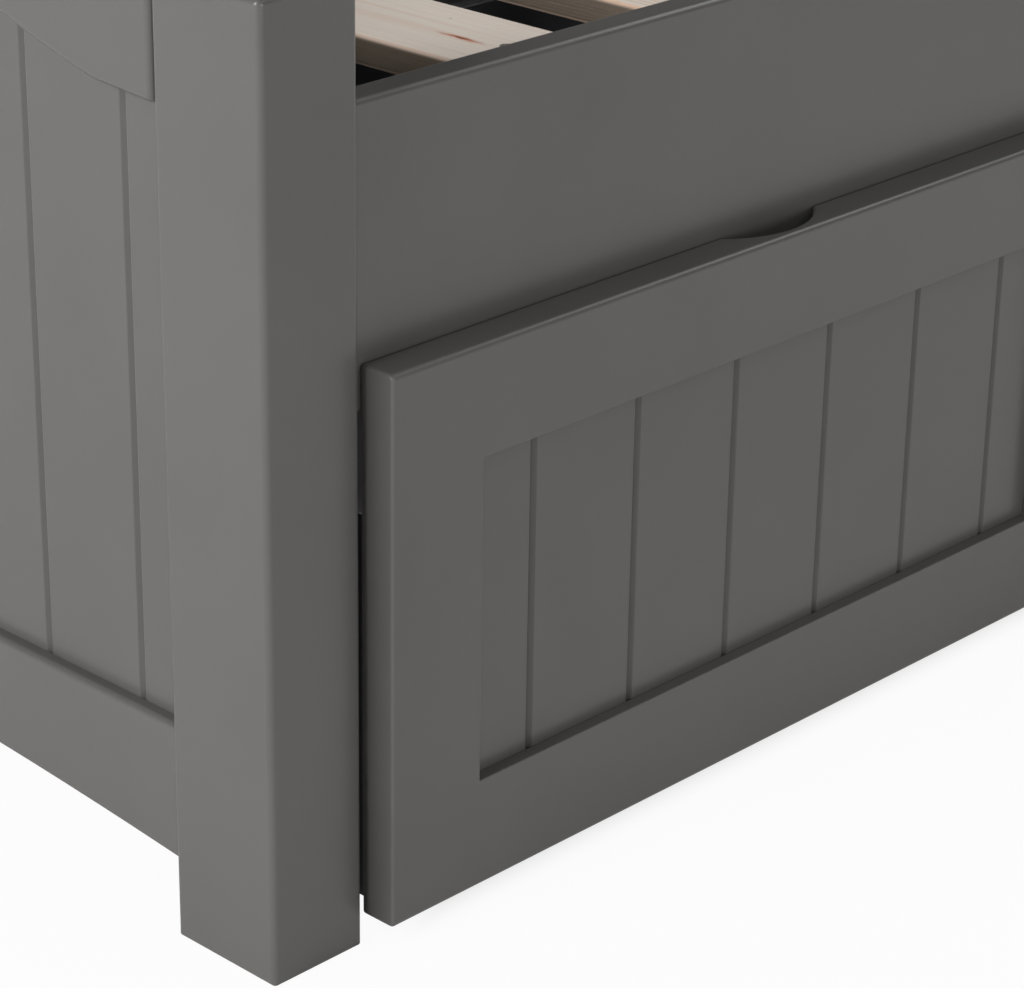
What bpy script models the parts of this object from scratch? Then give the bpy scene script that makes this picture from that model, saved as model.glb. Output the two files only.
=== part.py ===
"""Storage daybed with serpentine end rails, grooved panels and three floor drawers.

Lengths are in metres. +Z is up, the front of the bed faces -Y and its long side runs
along X. The origin is on the floor, midway between the ends and midway between the
drawer fronts and the back.
"""

import math

import bmesh
import bpy

# Whole bed
inner_length = 2.000
bed_depth = 0.9747
fit_gap = 0.0003
cut_overrun = 0.010

# Posts
post_width = 0.0667
post_depth = 0.0809
front_post_height = 0.552
back_post_height = 0.8802
post_reveal = 0.0127
post_edge_radius = 0.0040
post_foot_share = 0.40
post_edge_steps = 3

# End frames
end_rail_setback = 0.0033
end_rail_thickness = 0.028
end_rail_band = 0.057
end_rail_kink = 0.132
end_rail_edge_radius = 0.0040
end_rail_flat_share = 0.061
end_rail_start_share = 0.205
end_rail_steps = 30
low_rail_top = 0.1298
low_rail_end_clear = 0.0474
low_rail_arch_rise = 0.0196
low_rail_edge_radius = 0.0041
low_rail_steps = 20

# Grooved panels
end_panel_setback = 0.0125
back_panel_setback = 0.010
panel_thickness = 0.012
housing_depth = 0.008
groove_width = 0.0058
groove_depth = 0.0016
groove_floor_share = 0.55
end_groove_margin = 0.0372
end_groove_count = 10
back_groove_margin = 0.0513
back_groove_count = 24

# Side rails and bearers
side_rail_thickness = 0.0212
side_rail_top = 0.4861
side_rail_overlap = 0.0281
side_rail_edge_radius = 0.0035
bearer_height = 0.028
bearer_depth = 0.045
bearer_edge_radius = 0.0015

# Slats
slat_count = 12
slat_width = 0.083
slat_thickness = 0.018
slat_drop = 0.0119
slat_end_margin = 0.1199
slat_edge_radius = 0.0025

# Drawer fronts
drawer_count = 3
drawer_gap = 0.005
front_thickness = 0.0248
front_proud = 0.0190
front_floor_clear = 0.0152
front_height = 0.3290
front_edge_radius = 0.0040
stile_width = 0.0681
frame_bottom_height = 0.0677
frame_top_height = 0.0653
front_panel_recess = 0.0081
front_panel_thickness = 0.0162
front_rebate = 0.010
front_groove_margin = 0.0474
front_groove_count = 6

# Finger recess in the back of each drawer front
recess_width = 0.084
recess_reach = 0.0173
recess_depth = 0.0366
recess_steps = 96

# Drawer boxes
box_inset = 0.015
box_length = 0.7194
box_floor_clear = 0.0136
box_top = 0.250
side_thickness = 0.015
back_board_thickness = 0.015
bottom_thickness = 0.005
bottom_clear = 0.052
bottom_housing = 0.007
box_edge_radius = 0.0015

# Floor rollers
roller_radius = 0.022
roller_width = 0.014
roller_hub_radius = 0.0085
roller_web_radius = 0.0170
roller_web_recess = 0.0040
roller_crown = 0.0015
roller_inset = 0.070
roller_steps = 20
pin_radius = 0.0040
pin_collar_radius = 0.0080
pin_collar_length = 0.003
pin_head_radius = 0.0065
pin_head_length = 0.0025
pin_seat = 0.006
pin_steps = 12

# Colours as linear shares of red, green and blue
grey_paint_shares = (0.133, 0.130, 0.125)
pine_shares = (0.60, 0.46, 0.30)
box_board_shares = (0.42, 0.40, 0.37)
nylon_shares = (0.03, 0.03, 0.03)

# Places worked out from the sizes above
half_length = inner_length / 2
outer_half = half_length + post_width
back_y = (bed_depth + front_proud) / 2
front_y = back_y - bed_depth
inner_depth = bed_depth - 2 * post_depth
sweep_length = bed_depth - 2 * end_rail_kink
flat_rise = end_rail_flat_share * (end_rail_kink - post_depth)
end_rail_lower = front_post_height - post_reveal - end_rail_band
end_rail_back = back_post_height - post_reveal - end_rail_band
end_rail_rise = end_rail_back - end_rail_lower - 2 * flat_rise
drawer_width = (inner_length - (drawer_count + 1) * drawer_gap) / drawer_count
front_back_y = front_y - front_proud + front_thickness
front_rail_y = front_back_y + fit_gap
panel_middle = back_panel_setback + panel_thickness / 2
back_rail_y = back_y - panel_middle + side_rail_thickness / 2
front_rail_low = front_floor_clear + front_height - side_rail_overlap
slat_top = side_rail_top - slat_drop
slat_low = slat_top - slat_thickness
slat_front_y = front_rail_y + side_rail_thickness + fit_gap
slat_back_y = back_rail_y - side_rail_thickness - fit_gap
box_half = drawer_width / 2 - box_inset


def clear_scene():
    """Start from an empty file."""
    for item in list(bpy.data.objects):
        bpy.data.objects.remove(item, do_unlink=True)
    for block in (bpy.data.meshes, bpy.data.materials):
        for item in list(block):
            block.remove(item)


def paint(item, shares, roughness, metallic=0.0):
    """Give an object a material of its own."""
    made = bpy.data.materials.new(item.name + "_finish")
    made.use_nodes = True
    shader = made.node_tree.nodes["Principled BSDF"]
    shader.inputs["Base Color"].default_value = (*shares, 1.0)
    shader.inputs["Roughness"].default_value = roughness
    shader.inputs["Metallic"].default_value = metallic
    item.data.materials.append(made)


def link_mesh(name, shell, place=(0, 0, 0), holder=None):
    """Turn a bmesh into a named object at its place."""
    bmesh.ops.recalc_face_normals(shell, faces=shell.faces)
    mesh = bpy.data.meshes.new(name)
    shell.to_mesh(mesh)
    shell.free()
    item = bpy.data.objects.new(name, mesh)
    item.location = place
    bpy.context.scene.collection.objects.link(item)
    if holder:
        item.parent = holder
    return item


def ring_shell(rings, closed=False):
    """Skin a run of equal rings, capped at both ends or closed on itself."""
    shell = bmesh.new()
    rows = [[shell.verts.new(point) for point in ring] for ring in rings]
    count = len(rows[0])
    pairs = list(zip(rows, rows[1:]))
    if closed:
        pairs.append((rows[-1], rows[0]))
    for near, far in pairs:
        for index in range(count):
            after = (index + 1) % count
            shell.faces.new((near[index], near[after], far[after], far[index]))
    if not closed:
        shell.faces.new(rows[0])
        shell.faces.new(list(reversed(rows[-1])))
    return shell


def block(name, low, high, place=(0, 0, 0), holder=None):
    """Make a box between two corners."""
    rings = []
    for x in (low[0], high[0]):
        rings.append([(x, low[1], low[2]), (x, high[1], low[2]),
                      (x, high[1], high[2]), (x, low[1], high[2])])
    return link_mesh(name, ring_shell(rings), place, holder)


def turned(name, profile, steps, place=(0, 0, 0), holder=None):
    """Revolve a closed profile of (along, radius) points about the X axis."""
    rings = []
    for step in range(steps):
        angle = 2 * math.pi * step / steps
        rings.append([(along, radius * math.cos(angle), radius * math.sin(angle))
                      for along, radius in profile])
    return link_mesh(name, ring_shell(rings, closed=True), place, holder)


def turned_solid(name, profile, steps, place=(0, 0, 0), holder=None):
    """Revolve an open profile about the X axis and cap its two ends."""
    rings = []
    for along, radius in profile:
        rings.append([(along, radius * math.cos(2 * math.pi * step / steps),
                       radius * math.sin(2 * math.pi * step / steps))
                      for step in range(steps)])
    return link_mesh(name, ring_shell(rings), place, holder)


def round_edges(item, radius, steps=2, share_of_edge=None):
    """Round the sharp edges, less on those that share_of_edge names."""
    if share_of_edge:
        weights = item.data.attributes.new("bevel_weight_edge", "FLOAT", "EDGE")
        for edge in item.data.edges:
            ends = [item.data.vertices[index].co for index in edge.vertices]
            weights.data[edge.index].value = share_of_edge(*ends)
    bevel = item.modifiers.new("rounding", "BEVEL")
    bevel.limit_method = "WEIGHT" if share_of_edge else "ANGLE"
    bevel.angle_limit = math.radians(40)
    bevel.width = radius
    bevel.segments = steps
    bevel.use_clamp_overlap = True
    return item


def combine(item, tool, operation):
    """Cut or join with a helper solid that stays hidden."""
    tool.hide_render = True
    tool.display_type = "WIRE"
    step = item.modifiers.new(operation.lower() + "_" + tool.name, "BOOLEAN")
    step.operation = operation
    step.solver = "EXACT"
    step.object = tool
    return item


def cut(item, tool):
    """Take a helper solid away."""
    return combine(item, tool, "DIFFERENCE")


def join(item, tool):
    """Add a helper solid to the same body."""
    return combine(item, tool, "UNION")


def shade_round(item):
    """Shade a turned piece smooth except at its sharp edges."""
    for face in item.data.polygons:
        face.use_smooth = True
    item.data.set_sharp_from_angle(angle=math.radians(35))


def serpentine(depth):
    """Height and slope of the end rail's lower edge at a depth from the front face."""
    if depth <= end_rail_kink:
        return (end_rail_lower + end_rail_flat_share * (depth - post_depth),
                end_rail_flat_share)
    if depth >= bed_depth - end_rail_kink:
        return (end_rail_back - end_rail_flat_share * (bed_depth - post_depth - depth),
                end_rail_flat_share)
    share = (depth - end_rail_kink) / sweep_length
    ramp = 3 * share ** 2 - 2 * share ** 3
    lean = share - 3 * share ** 2 + 2 * share ** 3
    height = (end_rail_lower + flat_rise + end_rail_rise * ramp
              + sweep_length * end_rail_start_share * lean)
    slope = (end_rail_rise / sweep_length * (6 * share - 6 * share ** 2)
             + end_rail_start_share * (1 - 6 * share + 6 * share ** 2))
    return height, slope


def serpentine_top(depth):
    """Upper edge of the end rail, one band above the lower edge measured squarely."""
    height, slope = serpentine(depth)
    near = min(depth, bed_depth - depth)
    if near < end_rail_kink:
        slope = end_rail_start_share * (near - post_depth) / (end_rail_kink - post_depth)
    return height + end_rail_band * math.sqrt(1 + slope * slope)


def groove_places(clear_width, margin, count):
    """Middles of equal grooves across a panel, measured from its middle."""
    pitch = (clear_width - 2 * margin) / (count - 1)
    return [(index - (count - 1) / 2) * pitch for index in range(count)]


def groove_stations(half_width, places):
    """Places and depths along a grooved face from edge to edge."""
    stations = [(-half_width, 0)]
    for place in places:
        for side, depth in ((-1, 0), (-groove_floor_share, groove_depth),
                            (groove_floor_share, groove_depth), (1, 0)):
            stations.append((place + side * groove_width / 2, depth))
    stations.append((half_width, 0))
    return stations


def merged_stations(grooves, extra):
    """Add plain stations for a curved edge between the grooves."""
    merged = list(grooves)
    for place in extra:
        for (start, low), (end, high) in zip(grooves, grooves[1:]):
            if start < place < end and low == high:
                merged.append((place, low))
    return sorted(merged)


def sweep_places(beyond=0):
    """Depths at which the serpentine edge is sampled, ending this far into the posts."""
    places = [post_depth - beyond]
    for step in range(end_rail_steps + 1):
        places.append(end_rail_kink + sweep_length * step / end_rail_steps)
    places.append(bed_depth - post_depth + beyond)
    return places


def make_post(name, side, front):
    """One post with its panel housings, higher at the back than at the front."""
    height = front_post_height if front else back_post_height
    near = front_y if front else back_y
    inward = 1 if front else -1
    low_x = 0 if side < 0 else -post_width
    low_y = 0 if front else -post_depth
    post = block(name, (low_x, low_y, 0), (low_x + post_width, low_y + post_depth, height),
                 (side * outer_half, near, 0))
    round_edges(post, post_edge_radius, post_edge_steps,
                lambda a, b: post_foot_share if max(a.z, b.z) < fit_gap else 1.0)
    edge_depth = post_depth if front else bed_depth - post_depth + housing_depth
    housing_end = serpentine(edge_depth)[0] + housing_depth
    slot = sorted((-side * (end_panel_setback - fit_gap),
                   -side * (end_panel_setback + panel_thickness + fit_gap)))
    reach = sorted((inward * (post_depth - housing_depth - fit_gap),
                    inward * (post_depth + cut_overrun)))
    cut(post, block(name + "_end_housing",
                    (slot[0], reach[0], low_rail_top - housing_depth - fit_gap),
                    (slot[1], reach[1], housing_end + fit_gap), post.location))
    if not front:
        slot = (-back_panel_setback - panel_thickness - fit_gap, -back_panel_setback + fit_gap)
        reach = sorted((-side * (post_width - housing_depth - fit_gap),
                        -side * (post_width + cut_overrun)))
        cut(post, block(name + "_back_housing",
                        (reach[0], slot[0], side_rail_top - housing_depth - fit_gap),
                        (reach[1], slot[1], end_rail_back + housing_depth + fit_gap),
                        post.location))
    paint(post, grey_paint_shares, 0.45)


def make_end_top_rail(name, side):
    """Serpentine rail with a housing for the panel along its lower edge."""
    inner = -side * end_rail_thickness
    rings = []
    for y in sweep_places(-fit_gap):
        low = serpentine(y)[0]
        high = serpentine_top(y)
        rings.append([(0, y, low), (inner, y, low), (inner, y, high), (0, y, high)])
    place = (side * (outer_half - end_rail_setback), front_y, 0)
    rail = link_mesh(name, ring_shell(rings), place)
    round_edges(rail, end_rail_edge_radius)
    near = end_panel_setback - end_rail_setback - fit_gap
    slot = (near, near + panel_thickness + 2 * fit_gap)
    rings = []
    for y in sweep_places(cut_overrun):
        low = serpentine(y)[0] - cut_overrun
        high = serpentine(y)[0] + housing_depth + fit_gap
        rings.append([(-side * slot[0], y, low), (-side * slot[1], y, low),
                      (-side * slot[1], y, high), (-side * slot[0], y, high)])
    cut(rail, link_mesh(name + "_housing", ring_shell(rings), place))
    paint(rail, grey_paint_shares, 0.45)


def make_end_low_rail(name, side):
    """Arched lower rail of an end with a housing in its top edge."""
    inner = -side * end_rail_thickness
    start = post_depth + fit_gap
    run = bed_depth - 2 * start
    rings = []
    for step in range(low_rail_steps + 1):
        share = step / low_rail_steps
        y = start + run * share
        low = low_rail_end_clear + low_rail_arch_rise * 4 * share * (1 - share)
        rings.append([(0, y, low), (inner, y, low), (inner, y, low_rail_top),
                      (0, y, low_rail_top)])
    place = (side * (outer_half - end_rail_setback), front_y, 0)
    rail = link_mesh(name, ring_shell(rings), place)
    upper = low_rail_top - low_rail_edge_radius
    round_edges(rail, low_rail_edge_radius, 3,
                lambda a, b: 1.0 if min(a.z, b.z) > upper and abs(a.y - b.y) > fit_gap
                and max(abs(a.x), abs(b.x)) < fit_gap else 0.0)
    near = end_panel_setback - end_rail_setback - fit_gap
    slot = sorted((-side * near, -side * (near + panel_thickness + 2 * fit_gap)))
    cut(rail, block(name + "_housing", (slot[0], 0, low_rail_top - housing_depth - fit_gap),
                    (slot[1], bed_depth, low_rail_top + cut_overrun), place))
    paint(rail, grey_paint_shares, 0.45)


def make_end_panel(name, side):
    """Panel grooved on both faces, its top edge following the serpentine rail."""
    half = inner_depth / 2 + housing_depth
    places = groove_places(inner_depth, end_groove_margin, end_groove_count)
    grooves = groove_stations(half, places)
    extra = [depth - bed_depth / 2 for depth in sweep_places()]
    rings = []
    for along, depth in merged_stations(grooves, extra):
        y = along + bed_depth / 2
        low = low_rail_top - housing_depth
        high = serpentine(y)[0] + housing_depth
        outer = -side * depth
        inner = -side * (panel_thickness - depth)
        rings.append([(outer, y, low), (inner, y, low), (inner, y, high), (outer, y, high)])
    place = (side * (outer_half - end_panel_setback), front_y, 0)
    paint(link_mesh(name, ring_shell(rings), place), grey_paint_shares, 0.45)


def make_side_rail(name, outer_y, inward, low, panel_above):
    """Long rail between the posts, at the back with a housing for the back panel."""
    half = half_length - fit_gap
    low_y, high_y = sorted((0, inward * side_rail_thickness))
    rail = block(name, (-half, low_y, low), (half, high_y, side_rail_top),
                 (0, outer_y, 0))
    round_edges(rail, side_rail_edge_radius)
    if panel_above:
        wall = (side_rail_thickness - panel_thickness) / 2
        slot = sorted((inward * (wall - fit_gap), inward * (wall + panel_thickness + fit_gap)))
        cut(rail, block(name + "_housing",
                        (-outer_half, slot[0], side_rail_top - housing_depth - fit_gap),
                        (outer_half, slot[1], side_rail_top + cut_overrun), (0, outer_y, 0)))
    paint(rail, grey_paint_shares, 0.45)


def make_back():
    """Grooved back panel and the straight rail over it."""
    half = half_length - fit_gap
    setback = back_y - end_rail_setback
    high = end_rail_back + end_rail_band
    rail = block("back_top_rail", (-half, -end_rail_thickness, end_rail_back),
                 (half, 0, high), (0, setback, 0))
    round_edges(rail, end_rail_edge_radius)
    near = back_panel_setback - end_rail_setback - fit_gap
    cut(rail, block("back_top_rail_housing",
                    (-outer_half, -near - panel_thickness - 2 * fit_gap,
                     end_rail_back - cut_overrun),
                    (outer_half, -near, end_rail_back + housing_depth + fit_gap),
                    (0, setback, 0)))
    paint(rail, grey_paint_shares, 0.45)
    places = groove_places(inner_length, back_groove_margin, back_groove_count)
    rings = []
    for x, depth in groove_stations(half_length + housing_depth, places):
        low = side_rail_top - housing_depth
        high = end_rail_back + housing_depth
        rings.append([(x, -depth, low), (x, depth - panel_thickness, low),
                      (x, depth - panel_thickness, high), (x, -depth, high)])
    panel = link_mesh("back_panel", ring_shell(rings), (0, back_y - back_panel_setback, 0))
    paint(panel, grey_paint_shares, 0.45)


def make_bearer(name, rail_inner_y, inward):
    """Batten on the inner face of a side rail that carries the slat ends."""
    half = half_length - fit_gap
    low_y, high_y = sorted((inward * fit_gap, inward * (fit_gap + bearer_depth)))
    top = slat_low - fit_gap
    bearer = block(name, (-half, low_y, top - bearer_height), (half, high_y, top),
                   (0, rail_inner_y, 0))
    round_edges(bearer, bearer_edge_radius, 1)
    paint(bearer, pine_shares, 0.60)


def make_slats():
    """Row of pine slats laid from rail to rail."""
    length = slat_back_y - slat_front_y
    pitch = (inner_length - 2 * slat_end_margin - slat_width) / (slat_count - 1)
    for index in range(slat_count):
        x = -half_length + slat_end_margin + index * pitch
        slat = block("slat_{:02d}".format(index + 1), (0, 0, 0),
                     (slat_width, length, slat_thickness), (x, slat_front_y, slat_low))
        round_edges(slat, slat_edge_radius)
        paint(slat, pine_shares, 0.60)


def make_drawer_front(prefix, holder):
    """Drawer front frame with its opening, panel rebate, finger recess and housing."""
    half = drawer_width / 2
    top = front_floor_clear + front_height
    frame = block(prefix + "_front_frame", (-half, 0, front_floor_clear),
                  (half, front_thickness, top), (0, 0, 0), holder)
    round_edges(frame, front_edge_radius, 3)
    open_half = half - stile_width
    open_low = front_floor_clear + frame_bottom_height
    open_high = top - frame_top_height
    cut(frame, block(frame.name + "_opening", (-open_half, -cut_overrun, open_low),
                     (open_half, front_thickness + cut_overrun, open_high), (0, 0, 0), holder))
    seat = front_rebate + fit_gap
    cut(frame, block(frame.name + "_rebate",
                     (-open_half - seat, front_panel_recess, open_low - seat),
                     (open_half + seat, front_thickness + cut_overrun, open_high + seat),
                     (0, 0, 0), holder))
    radius = (recess_width ** 2 / 4 + recess_reach ** 2) / (2 * recess_reach)
    rings = []
    for z in (top - recess_depth, top + cut_overrun):
        rings.append([(radius * math.cos(2 * math.pi * step / recess_steps),
                       radius * math.sin(2 * math.pi * step / recess_steps), z)
                      for step in range(recess_steps)])
    middle = front_thickness - recess_reach + radius
    cut(frame, link_mesh(frame.name + "_finger_recess", ring_shell(rings),
                         (0, middle, 0), holder))
    reach = front_thickness - bottom_housing - fit_gap
    slot = box_half - side_thickness + bottom_housing + fit_gap
    cut(frame, block(frame.name + "_bottom_housing", (-slot, reach, bottom_clear - fit_gap),
                     (slot, front_thickness + cut_overrun,
                      bottom_clear + bottom_thickness + fit_gap), (0, 0, 0), holder))
    paint(frame, grey_paint_shares, 0.45)
    make_front_panel(prefix, holder, open_half, open_low, open_high)


def make_front_panel(prefix, holder, open_half, open_low, open_high):
    """Grooved panel let into the rebate of a drawer front."""
    face = front_panel_recess + fit_gap
    places = groove_places(2 * open_half, front_groove_margin, front_groove_count)
    rings = []
    for x, depth in groove_stations(open_half + front_rebate, places):
        low = open_low - front_rebate
        high = open_high + front_rebate
        rings.append([(x, depth, low), (x, front_panel_thickness, low),
                      (x, front_panel_thickness, high), (x, depth, high)])
    panel = link_mesh(prefix + "_front_panel", ring_shell(rings), (0, face, 0), holder)
    paint(panel, grey_paint_shares, 0.45)


def pin_profile():
    """Collar, pin and head of a roller pin from its seat in the drawer side."""
    run = pin_collar_length + roller_width + 2 * fit_gap
    return [(-pin_seat, pin_collar_radius), (pin_collar_length, pin_collar_radius),
            (pin_collar_length, pin_radius), (run, pin_radius), (run, pin_head_radius),
            (run + pin_head_length, pin_head_radius)]


def roller_profile():
    """Section of a floor roller with a hub, a web sunk in its open face and a tread."""
    half = roller_width / 2
    bore = pin_radius + fit_gap
    web = half - roller_web_recess
    return [(-half, bore), (half, bore), (half, roller_hub_radius), (web, roller_hub_radius),
            (web, roller_web_radius), (half, roller_web_radius),
            (half, roller_radius - roller_crown), (half - roller_crown, roller_radius),
            (-half, roller_radius)]


def make_drawer_side(prefix, holder, side):
    """Drawer side with its bottom housing, two roller pins and their rollers."""
    label = "left" if side < 0 else "right"
    start = front_thickness + fit_gap
    low_x, high_x = sorted((side * box_half, side * (box_half - side_thickness)))
    board = block("{}_side_{}".format(prefix, label), (low_x, start, box_floor_clear),
                  (high_x, start + box_length, box_top), (0, 0, 0), holder)
    round_edges(board, box_edge_radius, 1)
    inner = side * (box_half - side_thickness)
    slot = sorted((inner - side * cut_overrun, inner + side * (bottom_housing + fit_gap)))
    cut(board, block(board.name + "_housing", (slot[0], 0, bottom_clear - fit_gap),
                     (slot[1], start + box_length + cut_overrun,
                      bottom_clear + bottom_thickness + fit_gap), (0, 0, 0), holder))
    middle = pin_collar_length + fit_gap + roller_width / 2
    for word, y in (("front", start + roller_inset), ("rear", start + box_length - roller_inset)):
        profile = [(-side * along, radius) for along, radius in pin_profile()]
        pin = turned_solid("{}_pin_{}".format(board.name, word), profile, pin_steps,
                           (inner, y, roller_radius), holder)
        join(board, pin)
        profile = [(-side * along, radius) for along, radius in roller_profile()]
        roller = turned("{}_roller_{}_{}".format(prefix, word, label), profile,
                        roller_steps, (inner - side * middle, y, roller_radius), holder)
        shade_round(roller)
        paint(roller, nylon_shares, 0.40)
    paint(board, box_board_shares, 0.55)


def make_drawer_box(prefix, holder):
    """Sides, back board and bottom of a drawer."""
    for side in (-1, 1):
        make_drawer_side(prefix, holder, side)
    start = front_thickness + fit_gap
    end = start + box_length
    half = box_half - side_thickness - fit_gap
    floor = bottom_clear + bottom_thickness + fit_gap
    back = block(prefix + "_back", (-half, end - back_board_thickness, floor),
                 (half, end, box_top), (0, 0, 0), holder)
    round_edges(back, box_edge_radius, 1)
    paint(back, box_board_shares, 0.55)
    half = box_half - side_thickness + bottom_housing
    bottom = block(prefix + "_bottom", (-half, front_thickness - bottom_housing, bottom_clear),
                   (half, end, bottom_clear + bottom_thickness), (0, 0, 0), holder)
    paint(bottom, box_board_shares, 0.55)


def make_drawer(index):
    """One roll-out drawer on an empty at the foot of its front face."""
    x = -half_length + drawer_gap + drawer_width / 2 + index * (drawer_width + drawer_gap)
    holder = bpy.data.objects.new("drawer_{}_axis".format(index + 1), None)
    holder.location = (x, front_y - front_proud, 0)
    bpy.context.scene.collection.objects.link(holder)
    prefix = "drawer_{}".format(index + 1)
    make_drawer_front(prefix, holder)
    make_drawer_box(prefix, holder)


def build():
    """Make every piece of the daybed."""
    clear_scene()
    for word, side in (("left", -1), ("right", 1)):
        make_post("front_post_" + word, side, True)
        make_post("back_post_" + word, side, False)
        make_end_top_rail("end_top_rail_" + word, side)
        make_end_panel("end_panel_" + word, side)
        make_end_low_rail("end_low_rail_" + word, side)
    make_side_rail("front_side_rail", front_rail_y, 1, front_rail_low, False)
    make_side_rail("back_side_rail", back_rail_y, -1, low_rail_top, True)
    make_back()
    make_bearer("front_bearer", front_rail_y + side_rail_thickness, 1)
    make_bearer("back_bearer", back_rail_y - side_rail_thickness, -1)
    make_slats()
    for index in range(drawer_count):
        make_drawer(index)


build()
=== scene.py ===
"""Looks of a storage daybed: lacquered posts, rails and grooved panels, pine slats and drawers.

Lengths are in metres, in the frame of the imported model. The front faces -Y, the long side
runs along X and the floor is at z 0. Every piece is built where it stays, so its object sits
at the origin and its materials can read Object coordinates.
"""

import logging
import math
from collections.abc import Callable, Sequence
from dataclasses import dataclass, field
from enum import Enum
from typing import ClassVar

import bmesh
import bpy
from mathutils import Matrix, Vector


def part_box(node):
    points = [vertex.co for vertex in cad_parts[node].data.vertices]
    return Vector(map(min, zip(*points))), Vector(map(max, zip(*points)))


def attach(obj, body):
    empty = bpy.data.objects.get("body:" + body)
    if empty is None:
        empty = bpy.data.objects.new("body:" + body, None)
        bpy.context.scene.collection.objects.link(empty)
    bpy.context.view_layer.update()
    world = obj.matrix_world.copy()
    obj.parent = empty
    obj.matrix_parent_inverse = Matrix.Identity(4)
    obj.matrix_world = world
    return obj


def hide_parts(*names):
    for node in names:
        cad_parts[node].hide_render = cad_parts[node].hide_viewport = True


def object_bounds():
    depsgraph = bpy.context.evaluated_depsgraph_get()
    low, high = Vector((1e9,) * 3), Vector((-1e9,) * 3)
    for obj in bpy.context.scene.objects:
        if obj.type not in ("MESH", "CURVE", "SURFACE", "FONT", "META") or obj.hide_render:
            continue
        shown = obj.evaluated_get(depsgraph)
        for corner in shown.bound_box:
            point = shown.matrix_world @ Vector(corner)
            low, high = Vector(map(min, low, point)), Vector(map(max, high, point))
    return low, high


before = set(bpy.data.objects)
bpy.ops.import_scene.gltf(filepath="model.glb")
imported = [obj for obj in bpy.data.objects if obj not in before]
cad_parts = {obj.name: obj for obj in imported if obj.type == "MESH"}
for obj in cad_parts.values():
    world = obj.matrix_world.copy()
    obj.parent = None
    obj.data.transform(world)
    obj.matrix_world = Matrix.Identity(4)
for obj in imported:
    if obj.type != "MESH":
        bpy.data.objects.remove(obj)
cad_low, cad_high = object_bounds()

log = logging.getLogger("daybed")

Point = tuple[float, float]
Place = tuple[float, float, float]
Corner = tuple[float, float, float]
Item = bpy.types.Object
Material = bpy.types.Material
Node = bpy.types.Node
Shell = bmesh.types.BMesh
Socket = bpy.types.NodeSocket
Tree = bpy.types.NodeTree

MILLIMETRE = 0.001
BED_BODY = "bed_frame"
SMOOTH_ANGLE = math.radians(32)
FLAT_WEIGHT = 100
MERGE_DISTANCE = 0.002 * MILLIMETRE
# The wave texture draws one ring in this length at a scale of one.
RING_STEP = math.pi / 10
# Slack between pieces that are let into each other.
FIT = 0.0003
# How far a cutting tool runs past the face that it opens.
OVERRUN = 0.01
HOUSING_DEPTH = 0.008


class Labelled(Enum):
    """An option that the nodes call by its name in lower case."""

    @property
    def label(self) -> str:
        """The word that the nodes use."""
        return self.name.lower()


class Side(Labelled):
    """End of the bed, or side of a drawer, with the sign of its X direction."""

    LEFT = -1
    RIGHT = 1


class Row(Labelled):
    """Front or back, with the sign of the direction inward along Y."""

    FRONT = 1
    BACK = -1


class Axis(Enum):
    """World axis along which a section is drawn out, or a board's grain runs."""

    X = 0
    Y = 1
    Z = 2


class Slot(Enum):
    """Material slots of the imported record."""

    LACQUER = "grey_painted_board"
    PINE = "pine"
    BOARD = "drawer_board"
    NYLON = "nylon"


def linear(hex_colour: str) -> tuple[float, float, float, float]:
    """Turn an sRGB hex colour into the linear colour that the shaders take.

    Args:
        hex_colour: Colour written as a hash and six hex digits.

    Returns:
        Red, green, blue and an alpha of one.
    """
    shares = [int(hex_colour[start:start + 2], 16) / 255 for start in (1, 3, 5)]
    out = [share / 12.92 if share <= 0.04045 else ((share + 0.055) / 1.055) ** 2.4
           for share in shares]
    return (out[0], out[1], out[2], 1.0)


def waves_per_metre(millimetres: float) -> float:
    """Scale of a texture whose features are this many millimetres across."""
    return 1 / (millimetres * MILLIMETRE)


def cleared_tree(owner: Material | bpy.types.World) -> Tree:
    """Turn on the nodes of a material or a world, and empty its tree."""
    owner.use_nodes = True
    owner.node_tree.nodes.clear()
    return owner.node_tree


def fill(tree: Tree, node: Node, inputs: dict) -> None:
    """Fill a node's sockets.

    Args:
        tree: The node's tree.
        node: The node.
        inputs: Socket names or numbers with a value, or with the output to link.
    """
    for key, value in inputs.items():
        if isinstance(value, Socket):
            tree.links.new(value, node.inputs[key])
        else:
            node.inputs[key].default_value = value


def add_node(tree: Tree, kind: str, settings: dict | None = None,
             inputs: dict | None = None) -> Node:
    """Add a node, set its properties and fill its sockets.

    Args:
        tree: Tree of a material, a world or a Geometry Nodes modifier.
        kind: Type name of the node.
        settings: Property names with their values.
        inputs: Socket names or numbers with a value, or with the output to link.

    Returns:
        The new node.
    """
    node = tree.nodes.new(kind)
    for name, value in (settings or {}).items():
        setattr(node, name, value)
    fill(tree, node, inputs or {})
    return node


def reckon(tree: Tree, operation: str, *values: object) -> Socket:
    """Work a Math operation on values or sockets."""
    return add_node(tree, "ShaderNodeMath", {"operation": operation},
                    dict(enumerate(values))).outputs[0]


def reckon_vector(tree: Tree, operation: str, *values: object) -> Socket:
    """Work a Vector Math operation that gives a vector."""
    return add_node(tree, "ShaderNodeVectorMath", {"operation": operation},
                    dict(enumerate(values))).outputs["Vector"]


def measure(tree: Tree, operation: str, *values: object) -> Socket:
    """Work a Vector Math operation that gives a number."""
    return add_node(tree, "ShaderNodeVectorMath", {"operation": operation},
                    dict(enumerate(values))).outputs["Value"]


def own_place(tree: Tree) -> Socket:
    """Object coordinates, which are world places here."""
    return add_node(tree, "ShaderNodeTexCoord").outputs["Object"]


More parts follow.
